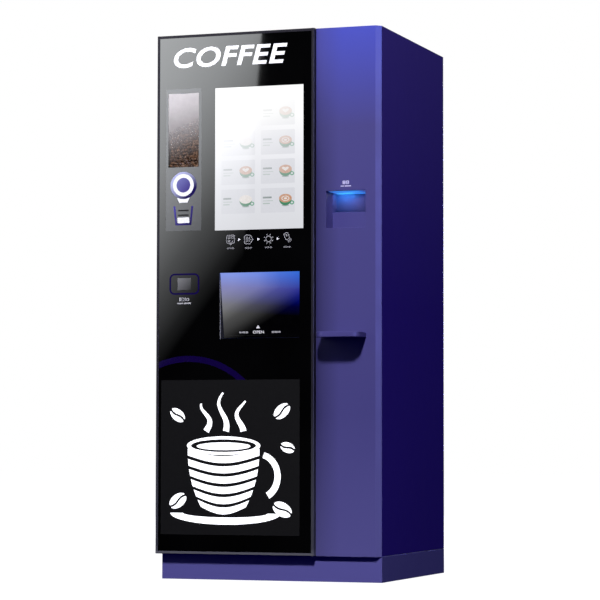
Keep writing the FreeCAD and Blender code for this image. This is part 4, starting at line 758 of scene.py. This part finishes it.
printed("ring_print",
        [[ring_side(RING_RADIUS + RING_WIDTH / 2) + ring_side(RING_RADIUS - RING_WIDTH / 2)[::-1]]],
        ink("ring_ink", (0.0045, 0.001, 0.036, 1), 0.25), lift=0.03, thick=0.1)

# The caption over the lid recess.
rx0, rx1, _, rz1 = in_mm("recess_liner")
middle = (rx0 + rx1) / 2
printed("recess_caption", [frame_band(middle - 11, middle - 1, rz1 + 9, rz1 + 20, 2, 2.2),
                           [rounded(middle - 8, middle - 4, rz1 + 12, rz1 + 17, 1)],
                           frame_band(middle + 1, middle + 11, rz1 + 9, rz1 + 20, 2, 2.2),
                           [rounded(middle + 3, middle + 9, rz1 + 13.6, rz1 + 15.8, 1)],
                           [rounded(middle - 18, middle - 6, rz1 + 1, rz1 + 4, 1)],
                           [rounded(middle - 4, middle + 18, rz1 + 1, rz1 + 4, 1)]],
        ink("lavender_ink", (0.56, 0.54, 0.80, 1), 0.1), "cabinet", COLUMN)


# ---- the light panel over the lid recess ----

def light_panel(name, x0, x1, y0, y1, under, thick, made, body):
    """A diffuser with rounded corners and edges, fixed flat under a ceiling; sizes in metres."""
    bm = bmesh.new()
    outline = rounded(x0 / MM, x1 / MM, y0 / MM, y1 / MM, 4)
    bm.faces.new([bm.verts.new((x * MM, y * MM, under)) for x, y in outline])
    extruded(bm, (0, 0, -thick))
    low_edges = [e for e in bm.edges if all(abs(v.co.z - under + thick) < 1e-7 for v in e.verts)]
    bmesh.ops.bevel(bm, geom=low_edges, offset=0.4 * MM, segments=2, affect="EDGES")
    return piece(name, from_bmesh(name, bm), made, body)


def panel_light(name, centre, reach, middle_colour, edge_colour):
    """A diffuser lit from behind, brightest at its middle."""
    made = Finish(name, Emission_Strength=1.0)
    away = made.reckon("ABSOLUTE", made.reckon("SUBTRACT", made.along(x=1), centre))
    made.set("Emission Color", made.ramp(made.remap(away, 0.0, reach), [
        (0.0, middle_colour), (0.55, middle_colour), (1.0, edge_colour)]))
    made.set("Base Color", made.mix(made.noise(40.0), (0.30, 0.30, 0.34, 1), (0.36, 0.36, 0.40, 1)))
    made.set("Roughness", made.noise(50.0, 3.0, out=(0.45, 0.6)))
    return made


recess_low, recess_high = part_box("recess_liner")
recess_x = (recess_low.x + recess_high.x) / 2
# How far the panel stays inside the liner's box, clear of its flange, walls and ceiling.
RECESS_SIDE, RECESS_FRONT, RECESS_BACK, RECESS_CEILING = 0.016, 0.012, 0.0023, 0.0121
light_panel("recess_light_panel", recess_low.x + RECESS_SIDE, recess_high.x - RECESS_SIDE,
            recess_low.y + RECESS_FRONT, recess_high.y - RECESS_BACK, recess_high.z - RECESS_CEILING, 2 * MM,
            panel_light("recess_panel_light", recess_x - 0.006, 0.064, (0.033, 0.235, 0.79),
                        (0.03, 0.05, 0.30)), "cabinet")


# ---- coffee beans ----

def bean_points(turns=14, rings=9):
    """One roasted bean of unit radius before it is sized: a rounded blob with a crease on its -Y side."""
    points, faces = [], []
    for ring in range(1, rings):
        polar = math.pi * ring / rings
        for step in range(turns):
            a = math.tau * step / turns
            x, y, z = math.cos(polar), math.sin(polar) * math.sin(a), math.sin(polar) * math.cos(a)
            if y < 0:
                crease = 0.5 * math.exp(-((z - 0.12 * math.sin(3 * x)) / 0.16) ** 2) * (1 - x * x)
                y = y * 0.72 + crease
            points.append(Vector((x, y, z)))
    for ring in range(rings - 2):
        for step in range(turns):
            after = (step + 1) % turns
            faces.append((ring * turns + step, ring * turns + after, (ring + 1) * turns + after,
                          (ring + 1) * turns + step))
    points += [Vector((1, 0, 0)), Vector((-1, 0, 0))]
    for step in range(turns):
        after = (step + 1) % turns
        faces.append((len(points) - 2, after, step))
        faces.append((len(points) - 1, (rings - 2) * turns + step, (rings - 2) * turns + after))
    return points, faces


BEAN = bean_points()
BEANS = beans_material()


def bean_pile(name, spots, body):
    """One mesh of beans, each at its own place and turn with its own shade."""
    shape, faces = BEAN
    verts, polygons, tones = [], [], []
    for centre, turn, size in spots:
        start = len(verts)
        move = Matrix.Translation(centre) @ turn.to_matrix().to_4x4() @ Matrix.Diagonal((*size, 1))
        verts += [move @ p for p in shape]
        polygons += [tuple(start + i for i in face) for face in faces]
        tones += [random.random()] * len(shape)
    mesh = bpy.data.meshes.new(name)
    mesh.from_pydata(verts, [], polygons)
    attribute = mesh.attributes.new("tone", "FLOAT", "POINT")
    attribute.data.foreach_set("value", tones)
    return piece(name, mesh, BEANS, body, True)


def bean_size():
    """Half a bean's length, depth and width, a little different each time."""
    scale = random.uniform(0.88, 1.1)
    return Vector((7.4 * MM * scale, 3.2 * MM * scale, 5.2 * MM * scale))


BEAN_LAYERS, BEAN_ROWS, BEAN_COLUMNS, BEAN_JITTER = 2, 24, 11, 2
low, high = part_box("bean_box")
low, high = low + Vector((11, 3, 11)) * MM, high - Vector((11, 6, 11)) * MM
spots = []
for layer in range(BEAN_LAYERS):
    for row_number in range(BEAN_ROWS):
        for column in range(BEAN_COLUMNS):
            x = low.x + (high.x - low.x) * (column + 0.5 * (row_number % 2)) / (BEAN_COLUMNS - 0.5)
            z = low.z + (high.z - low.z) * row_number / (BEAN_ROWS - 1)
            centre = Vector((x + random.uniform(-BEAN_JITTER, BEAN_JITTER) * MM,
                             low.y + (2.0 + 5.5 * layer) * MM,
                             z + random.uniform(-BEAN_JITTER, BEAN_JITTER) * MM))
            centre.x, centre.z = min(max(centre.x, low.x), high.x), min(max(centre.z, low.z), high.z)
            flip = math.pi if random.random() < 0.4 else 0.0
            turn = Euler((flip + random.uniform(-0.25, 0.25), random.uniform(0, math.tau),
                          random.uniform(-0.2, 0.2)), "XYZ")
            spots.append((centre, turn, bean_size()))
bean_pile("window_beans", spots, "door")


# ---- studio ----

def light(name, place, target, size, power, colour=(1, 1, 1)):
    """An area light of that size and wattage, aimed at the target."""
    lamp = bpy.data.lights.new(name, "AREA")
    lamp.shape, lamp.size, lamp.size_y, lamp.energy, lamp.color = "RECTANGLE", size[0], size[1], power, colour
    thing = in_scene(name, lamp)
    thing.location = place
    thing.rotation_euler = (Vector(target) - Vector(place)).to_track_quat("-Z", "Y").to_euler()


def card(name, corners, material):
    """A lit card that only reflections see."""
    mesh = bpy.data.meshes.new(name)
    mesh.from_pydata(corners, [], [tuple(range(len(corners)))])
    mesh.materials.append(material)
    thing = in_scene(name, mesh)
    thing.visible_camera = thing.visible_diffuse = thing.visible_shadow = thing.visible_transmission = False


def glow(name, strength, stops, low, high, **direction):
    """An emitter whose brightness follows the stops from low to high along a direction."""
    made = Finish(name)
    made.nodes.remove(made.shader)
    shown = made.ramp(made.remap(made.along(**direction), low, high), stops)
    lamp = made.add("Emission", {"Color": shown, "Strength": strength})
    output = next(node for node in made.nodes if node.type == "OUTPUT_MATERIAL")
    made.links.new(lamp.outputs[0], output.inputs["Surface"])
    return made.material


# A bright window in front on the left and a lit strip on the right, both only for reflections.
CARD_Y = -3.4
card("reflected_window",
     [(-4.5, CARD_Y, 0.3), (-1.330, CARD_Y, 0.3), (-1.084, CARD_Y, 3.2), (-4.5, CARD_Y, 3.2)],
     glow("window_glow", 10.2, [(t, (0.97 * v, v, 1.02 * v)) for t, v in (
         (0.075, 0.0), (0.141, 0.028), (0.224, 0.097), (0.302, 0.168), (0.378, 0.280), (0.462, 0.412),
         (0.622, 0.652), (0.790, 0.838), (0.930, 0.950), (1.0, 0.98))], 1.972, 3.272, x=-0.9008, z=0.7206))
card("reflected_strip", [(3.02, -1.82, 0.2), (3.28, -1.12, 0.2), (3.28, -1.12, 3.0), (3.02, -1.82, 3.0)],
     glow("strip_glow", 112.0, [(0.05, (0.12, 0.12, 0.20)), (0.37, (0.20, 0.22, 0.68)),
                                (0.62, (0.24, 0.27, 0.96)), (0.81, (0.26, 0.30, 0.76)),
                                (0.92, (0.22, 0.24, 0.32)), (1.0, (0.36, 0.36, 0.40))], 0.3, 2.4, z=1))

light("key", (1.75, -5.6, 5.3), (0.1, -0.3, 1.1), (0.7, 0.7), 590)
light("fill", (-3.0, -3.6, 4.8), (0.0, -0.3, 0.9), (2.0, 2.0), 10, (0.12, 0.06, 1.0))
light("back_fill", (-1.2, 5.4, 4.2), (0.0, 0.3, 0.9), (3.0, 3.0), 420)

# Two small lamps under the recess's panel: one faces the back wall, and one faces down.
lamp_y, lamp_z, glow_x = recess_high.y - 0.034, recess_high.z - 0.0165, recess_x - 0.032
light("recess_glow", (glow_x, lamp_y, lamp_z), (glow_x, recess_high.y, lamp_z - 0.012), (0.055, 0.004), 0.045,
      (0.08, 0.8, 1.0))
light("recess_lamp", (recess_x, lamp_y, lamp_z), (recess_x, lamp_y, 0), (0.11, 0.006), 0.06, (1.0, 0.85, 0.7))

low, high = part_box("pickup_chamber")
light("chamber_light", ((low.x + high.x) / 2, low.y + 0.04, high.z - 0.012),
      ((low.x + high.x) / 2, high.y - 0.05, low.z), (0.22, 0.01), 0.15, (0.25, 0.35, 1.0))

# The world: white to the camera, dark to reflections but for a glimmer behind, and a faint blue fill.
world = bpy.data.worlds.new("studio")
bpy.context.scene.world = world
world.use_nodes = True
nodes, links = world.node_tree.nodes, world.node_tree.links
nodes.clear()


def background(colour, strength):
    node = nodes.new("ShaderNodeBackground")
    node.inputs["Color"].default_value, node.inputs["Strength"].default_value = colour, strength
    return node


def choice(factor, first, second):
    node = nodes.new("ShaderNodeMixShader")
    for index, output in enumerate((factor, first, second)):
        links.new(output, node.inputs[index])
    return node.outputs[0]


seen = background((1, 1, 1, 1), 1.0)
ambient = background((0.03, 0.0, 1.0, 1), 0.085)
mirrored = background((0, 0, 0, 1), 1.0)
way = nodes.new("ShaderNodeSeparateXYZ")
links.new(nodes.new("ShaderNodeTexCoord").outputs["Generated"], way.inputs[0])
behind = nodes.new("ShaderNodeMapRange")
behind.inputs["From Min"].default_value, behind.inputs["From Max"].default_value = -0.1, 0.5
behind.inputs["To Max"].default_value = 0.02
links.new(way.outputs["Y"], behind.inputs["Value"])
links.new(behind.outputs[0], mirrored.inputs["Color"])
ray = nodes.new("ShaderNodeLightPath").outputs
unseen = choice(ray["Is Glossy Ray"], ambient.outputs[0], mirrored.outputs[0])
links.new(choice(ray["Is Camera Ray"], unseen, seen.outputs[0]),
          nodes.new("ShaderNodeOutputWorld").inputs["Surface"])

# The floor lights itself, a little less within reach of the machine's shadow.
FLOOR_REACH, SHADOW_NEAR, SHADOW_FAR = 30, 0.6, 2.6
floor_mesh = bpy.data.meshes.new("studio_floor")
floor_corners = [(x * FLOOR_REACH, y * FLOOR_REACH, 0) for x, y in ((-1, -1), (1, -1), (1, 1), (-1, 1))]
floor_mesh.from_pydata(floor_corners, [], [(0, 1, 2, 3)])
floor_made = Finish("pale_floor", Emission_Strength=1.0, Specular_IOR_Level=0.0)
floor_made.set("Base Color", floor_made.mix(floor_made.noise(0.8), (0.22, 0.22, 0.22, 1),
                                            (0.24, 0.24, 0.24, 1)))
distance = floor_made.add("VectorMath", {0: floor_made.place}, operation="LENGTH").outputs["Value"]
floor_made.set("Emission Color", floor_made.ramp(floor_made.remap(distance, SHADOW_NEAR, SHADOW_FAR),
                                                 [(0.0, (0.88, 0.88, 0.89)), (1.0, (1, 1, 1))]))
floor_mesh.materials.append(floor_made.material)
floor = in_scene("studio_floor", floor_mesh)
floor.visible_diffuse = floor.visible_glossy = floor.visible_transmission = False

# The camera that was fitted to the photograph's outline.
CAMERA_PLACE, CAMERA_DEGREES, CAMERA_LENS = (2.9187, -8.23445, 0.4471), (93.2763, -0.0865, 19.5135), 152.45
camera_data = bpy.data.cameras.new("camera")
camera_data.lens, camera_data.sensor_width, camera_data.clip_end = CAMERA_LENS, 36.0, 200.0
camera = in_scene("camera", camera_data)
camera.location = CAMERA_PLACE
camera.rotation_euler = [math.radians(a) for a in CAMERA_DEGREES]
bpy.context.scene.camera = camera
bpy.context.scene.view_settings.view_transform = "Standard"
